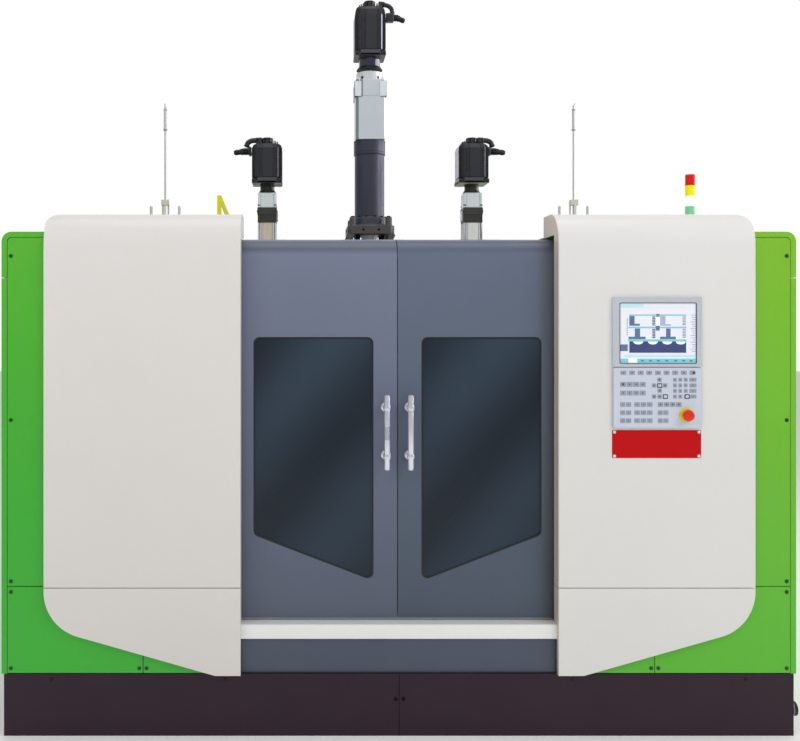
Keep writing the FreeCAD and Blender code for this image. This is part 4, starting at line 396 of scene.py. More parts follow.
class Shape:
    """A mesh put together from bevelled blocks, turned forms and prisms, each with its material."""

    def __init__(self):
        self.mesh = bmesh.new()
        self.materials = []

    def merge(self, piece, material, matrix=None, plane_faces=()):
        """Take the piece in; all but plane_faces are shaded smooth."""
        if material not in self.materials:
            self.materials.append(material)
        index = self.materials.index(material)
        plane_faces = set(plane_faces)
        for face in piece.faces:
            face.material_index = index
            face.smooth = face not in plane_faces
        if matrix is not None:
            bmesh.ops.transform(piece, matrix=matrix, verts=piece.verts)
        holder = bpy.data.meshes.new("holder")
        piece.to_mesh(holder)
        piece.free()
        self.mesh.from_mesh(holder)
        bpy.data.meshes.remove(holder)

    def block(self, low, high, material, edge=0.0, segments=2, matrix=None):
        piece = bmesh.new()
        bmesh.ops.create_cube(piece, size=1)
        low, high = Vector(map(min, low, high)), Vector(map(max, low, high))
        for vert in piece.verts:
            vert.co = Vector((low[i] + (vert.co[i] + 0.5) * (high[i] - low[i]) for i in range(3)))
        if edge:
            bevel(piece, piece.edges[:], edge, segments)
        self.merge(piece, material, matrix, square_faces(piece))

    def skin(self, rings, material, matrix=None, flat=False):
        """A closed form through rings of points; a ring of one point is a tip."""
        piece = bmesh.new()
        rings = [[piece.verts.new(point) for point in ring] for ring in rings]
        join(piece, rings)
        for ring in (rings[0], rings[-1]):
            if len(ring) > 1:
                piece.faces.new(ring)
        bmesh.ops.recalc_face_normals(piece, faces=piece.faces)
        self.merge(piece, material, matrix, piece.faces if flat else ())

    def loft(self, levels, material):
        """A flat-sided form through outlines of (x, y) at rising heights."""
        self.skin([[(u, v, z) for u, v in outline] for z, outline in levels], material, flat=True)

    def turned(self, profile, origin, axis, material, steps=48):
        """A form turned about axis from origin; profile lists (distance along axis, radius)."""
        circle = [2 * math.pi * i / steps for i in range(steps)]
        rings = []
        for along, radius in profile:
            if radius:
                rings.append([(radius * math.cos(a), radius * math.sin(a), along) for a in circle])
            else:
                rings.append([(0, 0, along)])
        turn = Vector(UP).rotation_difference(Vector(axis)).to_matrix().to_4x4()
        self.skin(rings, material, Matrix.Translation(origin) @ turn)

    def rod(self, start, end, radius, material, chamfer, steps=32):
        """A round bar with chamfered ends."""
        start, end = Vector(start), Vector(end)
        length = (end - start).length
        edge = min(chamfer, radius * 0.8, length * 0.4)
        profile = [(0, radius - edge), (edge, radius), (length - edge, radius), (length, radius - edge)]
        self.turned(profile, start, end - start, material, steps)

    def prism(self, outline, low, high, axis, material, edge=0.0, segments=2):
        """An outline of (u, v) raised along axis; u, v are the two other axes in x, y, z order."""
        piece = bmesh.new()
        bottom = [piece.verts.new(across(u, v, low, axis)) for u, v in outline]
        top = [piece.verts.new(across(u, v, high, axis)) for u, v in outline]
        piece.faces.new(bottom)
        piece.faces.new(top)
        join(piece, [bottom, top])
        bmesh.ops.recalc_face_normals(piece, faces=piece.faces)
        if edge:
            bevel(piece, [e for e in piece.edges if e.calc_face_angle(0) > 0.5], edge, segments)
        self.merge(piece, material, None, square_faces(piece))

    def ring(self, outer, inner, low, high, axis, material):
        """The band between two outlines with as many points, raised along axis."""
        piece = bmesh.new()
        edges = ((outer, low), (outer, high), (inner, high), (inner, low))
        loops = [[piece.verts.new(across(u, v, w, axis)) for u, v in line] for line, w in edges]
        join(piece, loops + loops[:1])
        bmesh.ops.recalc_face_normals(piece, faces=piece.faces)
        self.merge(piece, material, None, square_faces(piece))

    def pipe(self, points, radius, material, steps=16):
        """A round hose or cable through the points, with flat ends."""
        points = [Vector(p) for p in points]
        rings = []
        up = Vector((0.31, 0.11, 0.94))
        for i, point in enumerate(points):
            ahead = points[min(i + 1, len(points) - 1)] - points[max(i - 1, 0)]
            ahead.normalize()
            side = up.cross(ahead).normalized()
            up = ahead.cross(side).normalized()
            angles = [2 * math.pi * k / steps for k in range(steps)]
            rings.append([point + radius * (math.cos(a) * side + math.sin(a) * up) for a in angles])
        self.skin(rings, material)

    def screw(self, at, axis, radius, height, material, steps=24):
        """A socket head screw: head with a chamfer and a round recess."""
        edge = radius * 0.16
        inner = radius * 0.52
        floor = height * 0.45
        profile = [(0, radius), (height - edge, radius), (height, radius - edge), (height, inner)]
        profile += [(floor, inner * 0.98), (floor, 0)]
        self.turned(profile, at, axis, material, steps)

    def put(self, name, body, slot, *replaced):
        """The finished piece, riding on body, smooth but for its sharp edges."""
        bmesh.ops.remove_doubles(self.mesh, verts=self.mesh.verts, dist=1e-6)
        limit = math.radians(32)
        for edge in self.mesh.edges:
            if len(edge.link_faces) == 2 and edge.calc_face_angle(0) > limit:
                edge.smooth = False
        data = bpy.data.meshes.new(name)
        self.mesh.to_mesh(data)
        self.mesh.free()
        for material in self.materials:
            data.materials.append(material)
        piece = bpy.data.objects.new(name, data)
        bpy.context.scene.collection.objects.link(piece)
        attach(piece, body)
        if replaced:
            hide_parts(*replaced)


def rounded(outline, radius, steps=6):
    """An outline with its corners rounded."""
    points = []
    for i, corner in enumerate(outline):
        corner = Vector(corner)
        before = (Vector(outline[i - 1]) - corner).normalized()
        after = (Vector(outline[(i + 1) % len(outline)]) - corner).normalized()
        half = before.angle(after) / 2
        reach = radius / math.tan(half)
        centre = corner + (before + after).normalized() * radius / math.sin(half)
        start = corner + before * reach - centre
        sweep = start.angle_signed(corner + after * reach - centre)
        for k in range(steps + 1):
            sine, cosine = math.sin(-sweep * k / steps), math.cos(-sweep * k / steps)
            turned = Vector((start.x * cosine - start.y * sine, start.x * sine + start.y * cosine))
            points.append(tuple(centre + turned))
    return points


def rectangle(u0, u1, v0, v1):
    """The corners of a rectangle."""
    return [(u0, v0), (u1, v0), (u1, v1), (u0, v1)]


def smooth_path(points, steps=5):
    """More points on a smooth line through the given ones."""
    line = []
    for i in range(len(points) - 1):
        before = points[max(i - 1, 0)]
        start, end = points[i], points[i + 1]
        after = points[min(i + 2, len(points) - 1)]
        for k in range(steps):
            t = k / steps
            square = (2 * before - 5 * start + 4 * end - after) * t**2
            cube = (3 * start - before - 3 * end + after) * t**3
            line.append(0.5 * (2 * start + (end - before) * t + square + cube))
    return line + [points[-1]]


def quarter_turns(x=0):
    """The four places of a square stack's side, turned about the upright line at x."""
    for turn in range(4):
        yield Matrix.Translation((x, 0, 0)) @ Matrix.Rotation(turn * math.pi / 2, 4, "Z")


# ---------------------------------------------------------------- materials of the solids

NODE_MATERIALS = {
    "plinth": PLINTH,
    "main_frame": FRAME,
    "machine_bed": BED,
    "rear_cover": GREEN,
    "sill_beam": CREAM_SILL,
    "kick_panel": KICK_BLUE,
    "door_tracks": GROUND,
    "red_plate": RED_SIGN,
    "extruder_platform": BED,
    "die_head": HOT_STEEL,
    "extruder_barrel": STAINLESS,
    "extruder_drive": DRIVE,
    "hmi_housing": BEZEL,
    "hmi_screen": SCREEN_BACK,
    "keypad_panel": FOIL,
    "estop_button": STOP_RED,
    "signal_base": GREY_PLASTIC,
    "lift_cylinder": GLOSS_DARK,
    "lift_gear_housing": SILVER,
    "lift_servo": CHARCOAL,
}
# On both sides: the part of the name after the side, and the left and the right node's material.
PAIRED_MATERIALS = {
    "front_cover": (CREAM, CREAM_RIGHT_LIT),
    "front_cover_lower": (CREAM, CREAM_RIGHT_LIT),
    "panel_upper": (GREEN_LEFT, GREEN_RIGHT_LIT),
    "panel_lower": (GREEN_LEFT, GREEN_RIGHT_LIT),
    "side_cover": (GREEN_LEFT, GREEN_RIGHT_COVER_LIT),
    "roof_cover": (GREEN_LEFT, GREEN_RIGHT_COVER_LIT),
    "door_panel": (DOOR_LEFT_LIT, DOOR_RIGHT_SHADED),
    "door_window": (PANE, PANE),
    "door_handle": (HANDLE_STEEL, HANDLE_STEEL),
    "carriage": (BED, BED),
    "clamp_frame": (GROUND, GROUND),
    "platen": (GROUND, GROUND),
    "pinion": (TURNED, TURNED),
    "blow_head": (TURNED, TURNED),
    "blow_cylinder": (PROFILE, PROFILE),
    "blow_servo": (CHARCOAL, CHARCOAL),
    "trim_head": (TRIM_ROD, TRIM_ROD),
    "trim_unit": (TRIM_BLOCK, TRIM_BLOCK),
}
for part, (left, right) in PAIRED_MATERIALS.items():
    NODE_MATERIALS[f"left_{part}"] = left
    NODE_MATERIALS[f"right_{part}"] = right
for colour, material in LENS.items():
    NODE_MATERIALS[f"signal_{colour}"] = material
for node, material in NODE_MATERIALS.items():
    slots = frame["nodes"][node].data.materials
    slots.clear()
    slots.append(material)


# ---------------------------------------------------------------- servo motors


class ServoMotor(Shape):
    """Flange, finned housing, end shield with teeth, round cap and two plugs."""

    # Shares of the half width: the flat faces' reach, the facets' width and half a narrow fin's width.
    flat = 0.69
    facet = 0.08
    rib = 0.031

    def __init__(self, x, bottom, top, width, crown):
        super().__init__()
        self.x, self.bottom, self.top = x, bottom, top
        self.half = width / 2
        self.face = self.half - 0.003
        self.flange_top = bottom + 0.03
        self.fin_foot = self.flange_top + 0.004
        self.levels = [(top - below, scale) for below, scale in crown["levels"]]
        self.teeth = crown["teeth"]

    def section(self, scale=1.0):
        """The housing's outline: flat faces, a narrow facet beside each and notched corners."""
        half, face = self.half, self.face
        flat, facet = self.flat * half, self.facet * half
        corner, side_flat, recess = 0.91 * half, 0.76 * half, face - facet
        quarter = [(face, side_flat), (corner, side_flat), (corner, recess)]
        quarter += [(flat + facet, recess), (flat, face)]
        outline = []
        for sx, sy, turn in ((1, 1, 1), (-1, 1, -1), (-1, -1, 1), (1, -1, -1)):
            outline += [(self.x + sx * u * scale, sy * v * scale) for u, v in quarter[::turn]]
        return outline

    def housing(self, underside):
        """The grooved housing on its flange, with a band in the middle of each flange side."""
        x, half, bottom = self.x, self.half, self.bottom
        outlines = [(z, self.section(scale)) for z, scale in self.levels]
        # The housing body between the fins is painted darker: painted shade in the grooves.
        self.loft([(bottom + 0.012, self.section())] + outlines, MOTOR_GROOVE_SHADE)
        self.block((x - half, -half, bottom), (x + half, half, bottom + 0.014), CHARCOAL, 0.003)
        foot = half - 0.004
        # The plate under the flange; on the right motor it is a painted lighter copy.
        self.block((x - foot, -foot, bottom - 0.0012), (x + foot, foot, bottom), underside)
        band, low, high = 0.64 * half, bottom + 0.001, self.flange_top
        for sign in (-1, 1):
            inner, outer = sign * half * 0.9, sign * half
            self.block((x - band, inner, low), (x + band, outer, high), MOTOR_BAND_AND_HIGHLIGHT, 0.0025)
            self.block((x + inner, -band, low), (x + outer, band, high), MOTOR_BAND_AND_HIGHLIGHT, 0.0025)

    def fin(self, start, end, sign, sideways, back, material):
        """A fin over the shoulder, from start to end in shares of the half width, set back a little."""
        sections = []
        for z, scale in [(self.fin_foot, 1.0)] + self.levels:
            reach = self.half * scale
            inner, outer = sign * reach * 0.9, sign * (reach - back)
            low, high = start * reach, end * reach
            corners = [(low, inner), (high, inner), (high, outer), (low, outer)]
            sections.append((z, [(self.x + v, u) if sideways else (self.x + u, v) for u, v in corners]))
        self.loft(sections, material)

    def fins(self, inner_side):
        """A wide middle fin with narrow ones on the front and back, even ones on the sides."""
        rib = self.rib
        for sign in (-1, 1):
            self.fin(-0.3, 0.42, sign, False, 0, CHARCOAL)
            for u in (-0.635, -0.545, -0.455, -0.365, 0.49, 0.585):
                self.fin(u - rib, u + rib, sign, False, 0.0006, CHARCOAL)
            for i in range(9):
                v = (i - 4) * 0.165
                # The fins that face -x take inner_side, which on the right motor is a painted sheen.
                self.fin(v - 2 * rib, v + 2 * rib, sign, True, 0.0002, inner_side if sign < 0 else CHARCOAL)

    def corners(self, edge):
        """A bolted lug at each corner of the flange and a strip up the housing's facets."""
        x, half, face = self.x, self.half, self.face
        lug_top, lug_inner, bolt = self.bottom + 0.024, half * 0.72, 0.85 * half
        flat, facet = self.flat * half, self.facet * half
        strip = [(flat, face + 0.0004), (flat + facet, face - facet + 0.0004), (flat, face - facet)]
        for sx in (-1, 1):
            for sy in (-1, 1):
                low_corner = (x + sx * half, sy * half, self.bottom + 0.002)
                self.block(low_corner, (x + sx * lug_inner, sy * lug_inner, lug_top), CHARCOAL, 0.004)
                self.screw((x + sx * bolt, sy * bolt, lug_top), UP, 0.0085, 0.009, BLACK_STEEL, 16)
                outline = [(x + sx * u, sy * v) for u, v in strip]
                strip_top = self.levels[0][0] + 0.002
                # The facets that face +x get the edge material, a painted highlight; those that face -x stay
                # charcoal.
                self.prism(outline, self.fin_foot, strip_top, Z, edge if sx > 0 else CHARCOAL)

    def crown(self, material):
        """The end shield's teeth and the round cap with upright rods about it."""
        x, half, body_top = self.x, self.half, self.levels[-1][0]
        for u, rise in self.teeth:
            start = (x + (u - 0.036) * half, -0.55 * half, body_top - 0.02)
            end = (x + (u + 0.036) * half, 0.55 * half, body_top + rise)
            self.block(start, end, CHARCOAL, 0.001, 1)
        r = 0.031
        base = body_top - 0.002
        rise = self.top - base
        profile = [
            (0, r * 1.12), (0.004, r * 1.12), (0.005, r), (rise - 0.003, r), (rise - 0.001, r * 0.94),
            (rise, r * 0.86), (rise, r * 0.5), (rise - 0.002, r * 0.46), (rise - 0.002, 0),
        ]
        self.turned(profile, (x, 0, base), UP, material)
        for i in range(8):
            angle = math.pi * (i + 0.5) / 4
            at = (x + r * 0.99 * math.cos(angle), r * 0.99 * math.sin(angle), base + 0.006)
            self.rod(at, (at[0], at[1], self.top - 0.003), 0.0032, BLACK_STEEL, 0.0008, 10)

    def place(self, facing, u, below):
        """A point on the plugs' middle plane, at u from the axis and below the motor's top."""
        return Vector((self.x + facing * u, 0, self.top - below))

    def knurled_ring(self, at, heading, radius, profile):
        """A coupling ring; profile gives its steps with radii as shares."""
        self.turned([(along, radius * share) for along, share in profile], at, heading, KNURL, 18)

    def upper_plug(self, facing, arch, radius):
        """A square socket and a hose that arches from it to a coupling."""
        points = [self.place(facing, u, below) for u, below in arch]
        start, end = points[0], points[-1]
        self.block(
            (start.x - facing * 0.016, -radius * 1.5, start.z - radius * 1.5),
            (start.x + facing * 0.006, radius * 1.5, start.z + radius * 1.05),
            CHARCOAL,
            0.004,
        )
        ring = [(0, 1.1), (0.003, 1.25), (0.011, 1.25), (0.014, 1.1)]
        self.knurled_ring(start + Vector((facing * 0.006, 0, 0)), (facing, 0, 0), radius, ring)
        self.pipe(smooth_path(points), radius, CHARCOAL, 24)
        heading = (end - points[-2]).normalized()
        ring = [(0, 1.05), (0.002, 1.16), (0.009, 1.16), (0.012, 0.7)]
        self.knurled_ring(end - heading * 0.006, heading, radius, ring)

    def lower_plug(self, facing, outer, gland, tip, drop, slope, radius):
        """A square socket out to outer, a ribbed gland and a sloping rubber taper out to tip."""
        inner = self.half - 0.004
        middle = self.top - drop
        start, end = self.place(facing, inner, drop), self.place(facing, inner + 0.011, drop)
        self.rod(start, end, radius * 1.02, SILVER, 0.002, 40)
        self.block(
            (self.x + facing * (inner + 0.009), -radius * 1.1, middle - radius * 1.25),
            (self.x + facing * outer, radius * 1.1, middle + radius * 1.2),
            CHARCOAL,
            0.005,
            3,
        )
        rings = [(0, radius)]
        count = 4
        step = (gland - outer) / count
        for i in range(count):
            foot = i * step
            rings += [(foot + 0.0008, radius), (foot + step * 0.55, radius)]
            rings += [(foot + step * 0.65, radius * 0.9), (foot + step * 0.95, radius * 0.9)]
        rings.append((gland - outer, radius * 0.86))
        self.turned(rings, self.place(facing, outer, drop), (facing, 0, 0), KNURL, 20)
        heading = Vector((facing, 0, slope)).normalized()
        length = (tip - gland + 0.006) / abs(heading.x)
        taper = [
            (0, 0.9), (0.3, 0.88), (0.34, 0.76), (0.62, 0.72), (0.66, 0.8), (0.84, 0.72),
            (1, 0.5), (0.98, 0.3), (0.97, 0),
        ]
        profile = [(length * along, radius * share) for along, share in taper]
        self.turned(profile, self.place(facing, gland - 0.006, drop), heading, RUBBER, 28)

    def neck(self, low, high, radius):
        """A slim neck on a cone, below the flange."""
        cone = [(0, radius * 1.2), (0.003, radius * 1.22), (0.014, radius * 1.08), (0.02, radius)]
        self.turned(cone, (self.x, 0, low), UP, CONE_BLACK, 64)
        foot = low + cone[-1][0]
        self.turned([(0, radius), (high - foot, radius)], (self.x, 0, foot), UP, NECK_ENAMEL, 64)


MOTOR_RAISE = 0.018  # how far a motor stands above the one in its solid
# A crown's levels are (distance below the top, share of the width), its teeth (place as a share of the
# half width, height). An arch's points are (distance from the axis, distance below the top).
SIDE_CROWN = {
    "levels": [(0.067, 1.0), (0.05, 0.92), (0.041, 0.78)],
    "teeth": [(-0.68, 0.013), (-0.56, 0.017), (-0.44, 0.019), (0.46, 0.019), (0.57, 0.017), (0.68, 0.013)],
}
SIDE_ARCH = [(0.046, 0.014), (0.07, 0.013), (0.092, 0.016), (0.11, 0.027), (0.117, 0.046)]
CENTRE_CROWN = {
    "levels": [(0.098, 1.0), (0.064, 0.93), (0.052, 0.87), (0.045, 0.78)],
    "teeth": [(-0.68, 0.012), (-0.555, 0.018), (-0.43, 0.022), (0.46, 0.022), (0.58, 0.018), (0.68, 0.012)],
}
CENTRE_ARCH = [(0.066, 0.016), (0.092, 0.0195), (0.112, 0.0275), (0.126, 0.044), (0.129, 0.066)]


def side_motor(side_name, side):
    """The servo motor on top of a side drive."""
    node = f"{side_name}_blow_servo"
    low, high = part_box(node)
    # Only the right motor gets a painted sheen on its fins that face -x and a painted lighter underside
    # plate; the left one stays charcoal.
    inner_side, underside = (MOTOR_SHEEN, MOTOR_UNDERSIDE_LIT) if side > 0 else (CHARCOAL, CHARCOAL)
    motor = ServoMotor(side * PITCH, low.z + MOTOR_RAISE, high.z, 0.17, SIDE_CROWN)
    motor.housing(underside)
    motor.fins(inner_side)
    motor.corners(MOTOR_BAND_AND_HIGHLIGHT)
    motor.crown(CHARCOAL)
    motor.upper_plug(side, SIDE_ARCH, 0.0145)
    motor.lower_plug(side, outer=0.104, gland=0.138, tip=0.19, drop=0.076, slope=-0.13, radius=0.0205)
    motor.put(f"{side_name}_servo_motor", ROOT, "motor_paint", node)


def centre_motor():
    """The larger servo motor on top of the middle drive, on its own neck."""
    low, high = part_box("lift_servo")
    bottom, neck_top = 3.15 + MOTOR_RAISE, 3.152 + MOTOR_RAISE
    motor = ServoMotor(0, bottom, high.z, 0.174, CENTRE_CROWN)
    motor.housing(CHARCOAL)
    motor.fins(CHARCOAL)
    motor.corners(MOTOR_FACET_HIGHLIGHT)
    motor.crown(CAP_BROWN)
    motor.upper_plug(1, CENTRE_ARCH, 0.0125)
    motor.lower_plug(1, outer=0.137, gland=0.16, tip=0.2, drop=0.092, slope=-0.42, radius=0.0195)
    motor.neck(low.z, neck_top, 0.0605)
    motor.put("lift_servo_motor", ROOT, "motor_paint", "lift_servo")


for side_name, side in SIDES:
    side_motor(side_name, side)
centre_motor()


# ---------------------------------------------------------------- centre drive stack


def chamfered_square(half, cuts):
    """A square's outline with its corners cut; cuts go round from the corner at -x and -y."""
    outline = []
    for i in range(4):
        for x, y in ((-half + cuts[i], -half), (half - cuts[(i + 1) % 4], -half)):
            for turn in range(i):
                x, y = -y, x
            outline.append((x, y))
    return outline


def lift_foot(shape, low):
    """Bolted plate on four spread legs, with a pale spigot under it and a ring with bosses on it."""
    plate_low, plate_high, ring_high, reach = 2.163, 2.209, 2.262, 0.131
    shape.prism(chamfered_square(reach, [0.022] * 4), plate_low, plate_high, Z, CAST_GREY, 0.003)
    plate_middle = 0.5 * (plate_low + plate_high)
    for side in (-1, 1):
        leg = [
            (side * 0.094, plate_low + 0.001), (side * 0.129, plate_low + 0.001),
            (side * 0.1345, plate_low - 0.012), (side * 0.118, low), (side * 0.1, low),
        ]
        for y in (-0.128, 0.092):
            shape.prism(leg, y, y + 0.036, Y, CAST_GREY, 0.0015)
        for u in (-0.043, 0.043):
            shape.screw((u, side * reach, plate_middle), (0, side, 0), 0.0066, 0.003, BLACK_STEEL)
            shape.screw((side * reach, u, plate_middle), (side, 0, 0), 0.0066, 0.003, BLACK_STEEL)
        for y in (-0.07, 0.07):
            shape.rod((side * 0.07, y, low), (side * 0.07, y, plate_low + 0.001), 0.013, BLACK_STEEL, 0.001)
    spigot = [(0, 0.052), (0.01, 0.052), (0.012, 0.046), (0.03, 0.046), (0.032, 0.05)]
    spigot.append((plate_low - low, 0.05))
    shape.turned(spigot, (0, 0, low), UP, PALE_STEEL, 56)
    rise = ring_high - plate_high
    ring = [(0, 0.118), (0.008, 0.112), (0.014, 0.1), (rise - 0.004, 0.1), (rise, 0.096)]
    shape.turned(ring, (0, 0, plate_high - 0.001), UP, RING_GREY, 64)
    boss = [(0, 0.0225), (0.006, 0.0195), (0.012, 0.0185), (0.046, 0.0185), (0.05, 0.016)]
    for sx in (-1, 1):
        for sy in (-1, 1):
            at = Vector((sx * 0.1, sy * 0.1, plate_high - 0.001))
            shape.turned(boss, at, UP, CAST_GREY, 32)
            shape.screw(at + Vector((0, 0, 0.05)), UP, 0.0115, 0.006, BLACK_STEEL)
    for i in range(12):
        angle = math.radians(15 + 30 * i)
        at = (0.0915 * math.cos(angle), 0.0915 * math.sin(angle), ring_high - 0.002)
        shape.screw(at, UP, 0.0062, 0.009, BLACK_STEEL, 18)
    return ring_high


COLLAR_TOP = 2.697


def lift_tube():
    """The middle drive's foot, glossy tube and collar."""
    shape = Shape()
    foot_top = lift_foot(shape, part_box("lift_cylinder")[0].z)
    tube, collar, collar_low, groove = 0.084, 0.0888, 2.616, 2.63
    profile = [
        (foot_top - 0.002, tube), (collar_low - 0.002, tube), (collar_low, collar - 0.001),
        (collar_low + 0.002, collar), (groove - 0.0015, collar), (groove - 0.0008, collar - 0.0022),
        (groove + 0.0012, collar - 0.0022), (groove + 0.0019, collar), (COLLAR_TOP - 0.009, collar),
        (COLLAR_TOP - 0.007, collar + 0.0007), (COLLAR_TOP - 0.001, collar + 0.0007),
        (COLLAR_TOP, collar - 0.001), (COLLAR_TOP, 0.05),
    ]
    shape.turned(profile, (0, 0, 0), UP, GLOSS_DARK, 72)
    rim = [(0, collar + 0.0006), (0.0025, collar + 0.0008), (0.003, 0.05)]
    shape.turned(rim, (0, 0, COLLAR_TOP - 0.0032), UP, BLACK_STEEL, 72)
    shape.put("lift_tube", ROOT, "dark_casting", "lift_cylinder")


def gear_housing():
    """Silver housing with lugs and cover plates, and the bright coupling on it."""
    shape = Shape()
    w, cut, slim, top, coupling_top = 0.0815, 0.0155, 0.0045, 3.034, 3.08
    shape.prism(chamfered_square(w, [cut, slim, slim, slim]), COLLAR_TOP, top, Z, SILVER, 0.0012, 1)
    proud, back = w + 0.0006, w - cut + 0.0012
    # The left chamfer is faced with a darker metal: painted shade.
    left_face = [(-back, -proud), (-w + cut, -w), (-w, -w + cut), (-proud, -back)]
    shape.prism(left_face, COLLAR_TOP + 0.001, top - 0.001, Z, CHAMFER_SHADE)
    lug_low, lug_high, rim = 2.9365, 3.0215, 0.0018
    inner, outer, bolt = w - 0.03, w + 0.0066, w - 0.014
    for sx in (-1, 1):
        for sy in (-1, 1):
            # Dark frames behind the front lugs only: painted shade about them.
            if sy < 0:
                shape.block(
                    (sx * (inner + (0.006 if sx > 0 else -rim)), sy * (inner - rim), lug_low - rim),
                    (sx * (outer + rim), sy * (w + 0.0045), lug_high + rim),
                    DARK_PRINT_AND_SHADE,
                    0.002,
                )
            start, end = (sx * inner, sy * inner, lug_low), (sx * outer, sy * outer, lug_high)
            shape.block(start, end, PALE_STEEL, 0.002)
            shape.screw((sx * bolt, sy * bolt, top), UP, 0.0085, 0.01, SILVER, 18)
    # A darker strip beside the left front lug: painted shade in the groove.
    shape.block((-w + 0.024, -w - 0.003, lug_low), (-0.0432, -w + 0.001, top - 0.002), CHAMFER_SHADE, 0.001)
    for matrix in quarter_turns():
        start, end = (-0.0425, -w - 0.0022, lug_low + 0.004), (0.0425, -w + 0.001, top - 0.003)
        shape.block(start, end, SILVER, 0.0012, 2, matrix)
    rise = coupling_top - top
    profile = [(0, 0.074), (0.001, 0.0755), (rise, 0.0755), (rise + 0.0015, 0.0735), (rise + 0.002, 0.05)]
    shape.turned(profile, (0, 0, top), UP, BRIGHT_STEEL, 64)
    # Dark discs stand for the coupling's holes: painted shade in place of the recess.
    for angle in (-126.6, -53.4, 20, 90, 160):
        a = math.radians(angle)
        out = Vector((math.cos(a), math.sin(a), 0))
        hole = [(0, 0.0088), (0.0012, 0.0084), (0.0013, 0)]
        shape.turned(hole, 0.0752 * out + Vector((0, 0, 3.0475)), out, DARK_PRINT_AND_SHADE, 24)
    shape.put("gear_housing", ROOT, "silver_housing", "lift_gear_housing")


lift_tube()
gear_housing()


# ---------------------------------------------------------------- side drive stacks


def blow_stack(side_name, side, insert):
    """Grooved profile, ribbed block, silver housing with screws, neck and guide rods."""
    x = side * PITCH
    node = f"{side_name}_blow_cylinder"
    low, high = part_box(node)
    shape = Shape()
    half, core, block_half, deep = 0.052, 0.046, 0.055, 0.04
    bottom, block_low, split, block_high, housing_high = 2.12, 2.232, 2.276, 2.318, 2.402

    def square(reach, z0, z1, material, edge=0.0, segments=2):
        """A square block about the stack's axis."""
        shape.block((x - reach, -reach, z0), (x + reach, reach, z1), material, edge, segments)

    # A dark core between the profile's ribs: painted shade in its slots.
    square(half - 0.005, bottom, block_low + 0.001, DARK_PRINT_AND_SHADE)
    for matrix in quarter_turns(x):
        ribs = ((-half, -0.043, half), (-0.039, -0.031, 0.051), (0.031, 0.039, 0.051), (0.043, half, half))
        for u0, u1, out in ribs:
            shape.block((u0, -out, bottom), (u1, -0.044, block_low), PROFILE, 0.0012, 2, matrix)
        shape.block((-0.029, -0.0505, bottom), (0.029, -0.044, block_low), insert, 0.001, 2, matrix)
        for u in (-0.012, 0.012):
            start, end = (u - 0.0008, -0.051, bottom), (u + 0.0008, -0.05, block_low)
            shape.block(start, end, PROFILE, 0.0002, 1, matrix)
    square(block_half - 0.003, block_low, split, BRONZE_BLOCK, 0.0015)
    square(block_half, split, block_high, BRONZE_BLOCK, 0.0025)
    for i in range(5):
        z = block_low + 0.003 + i * 0.0082
        square(block_half - 0.0016, z, z + 0.0046, BRONZE_BLOCK, 0.0008, 1)
    for matrix in quarter_turns(x):
        out = matrix.to_3x3() @ Vector(FORWARD)
        for u in (-0.044, 0.044):
            shape.screw(matrix @ Vector((u, -block_half, 2.297)), out, 0.0056, 0.003, BRONZE_BLOCK, 18)
    start, end = (x - side * (block_half - 0.002), -0.03, 2.246), (x - side * (block_half + 0.006), 0.03, 2.3)
    shape.block(start, end, SILVER, 0.0015)
    square(core, block_high, housing_high, PALE_STEEL, 0.003)
    for matrix in quarter_turns(x):
        out = matrix.to_3x3() @ Vector(FORWARD)
        start, end = (-0.034, -half + 0.0006, block_high), (0.034, -deep, housing_high - 0.002)
        shape.block(start, end, PALE_STEEL, 0.002, 2, matrix)
        for u in (-0.045, 0.045):
            start = (u - 0.0065, -half + 0.001, block_high)
            shape.block(start, (u + 0.0065, -deep, housing_high - 0.004), PALE_STEEL, 0.002, 2, matrix)
            at = matrix @ Vector((u, -half + 0.001, block_high + 0.013))
            shape.screw(at, out, 0.0048, 0.0026, BLACK_STEEL, 18)
    neck = [(0, 0.0505), (0.003, 0.0505), (0.011, 0.0445), (0.02, 0.0405)]
    neck.append((high.z + MOTOR_RAISE - housing_high, 0.0405))
    shape.turned(neck, (x, 0, housing_high), UP, SIDE_NECK)
    rod_top, collar = 2.1, [(0, 0.026), (0.01, 0.026), (0.012, 0.024), (0.012, 0.016)]
    for y in (-0.082, 0.082):
        shape.rod((x, y, low.z), (x, y, rod_top), 0.015, STAINLESS, 0.002)
        shape.turned(collar, (x, y, rod_top), (0, 0, -1), BLACK_STEEL)
    shape.put(f"{side_name}_drive_stack", ROOT, "stack_metal", node)


blow_stack("left", -1, TAN)
blow_stack("right", 1, PALE_STRIP)


# ---------------------------------------------------------------- doors


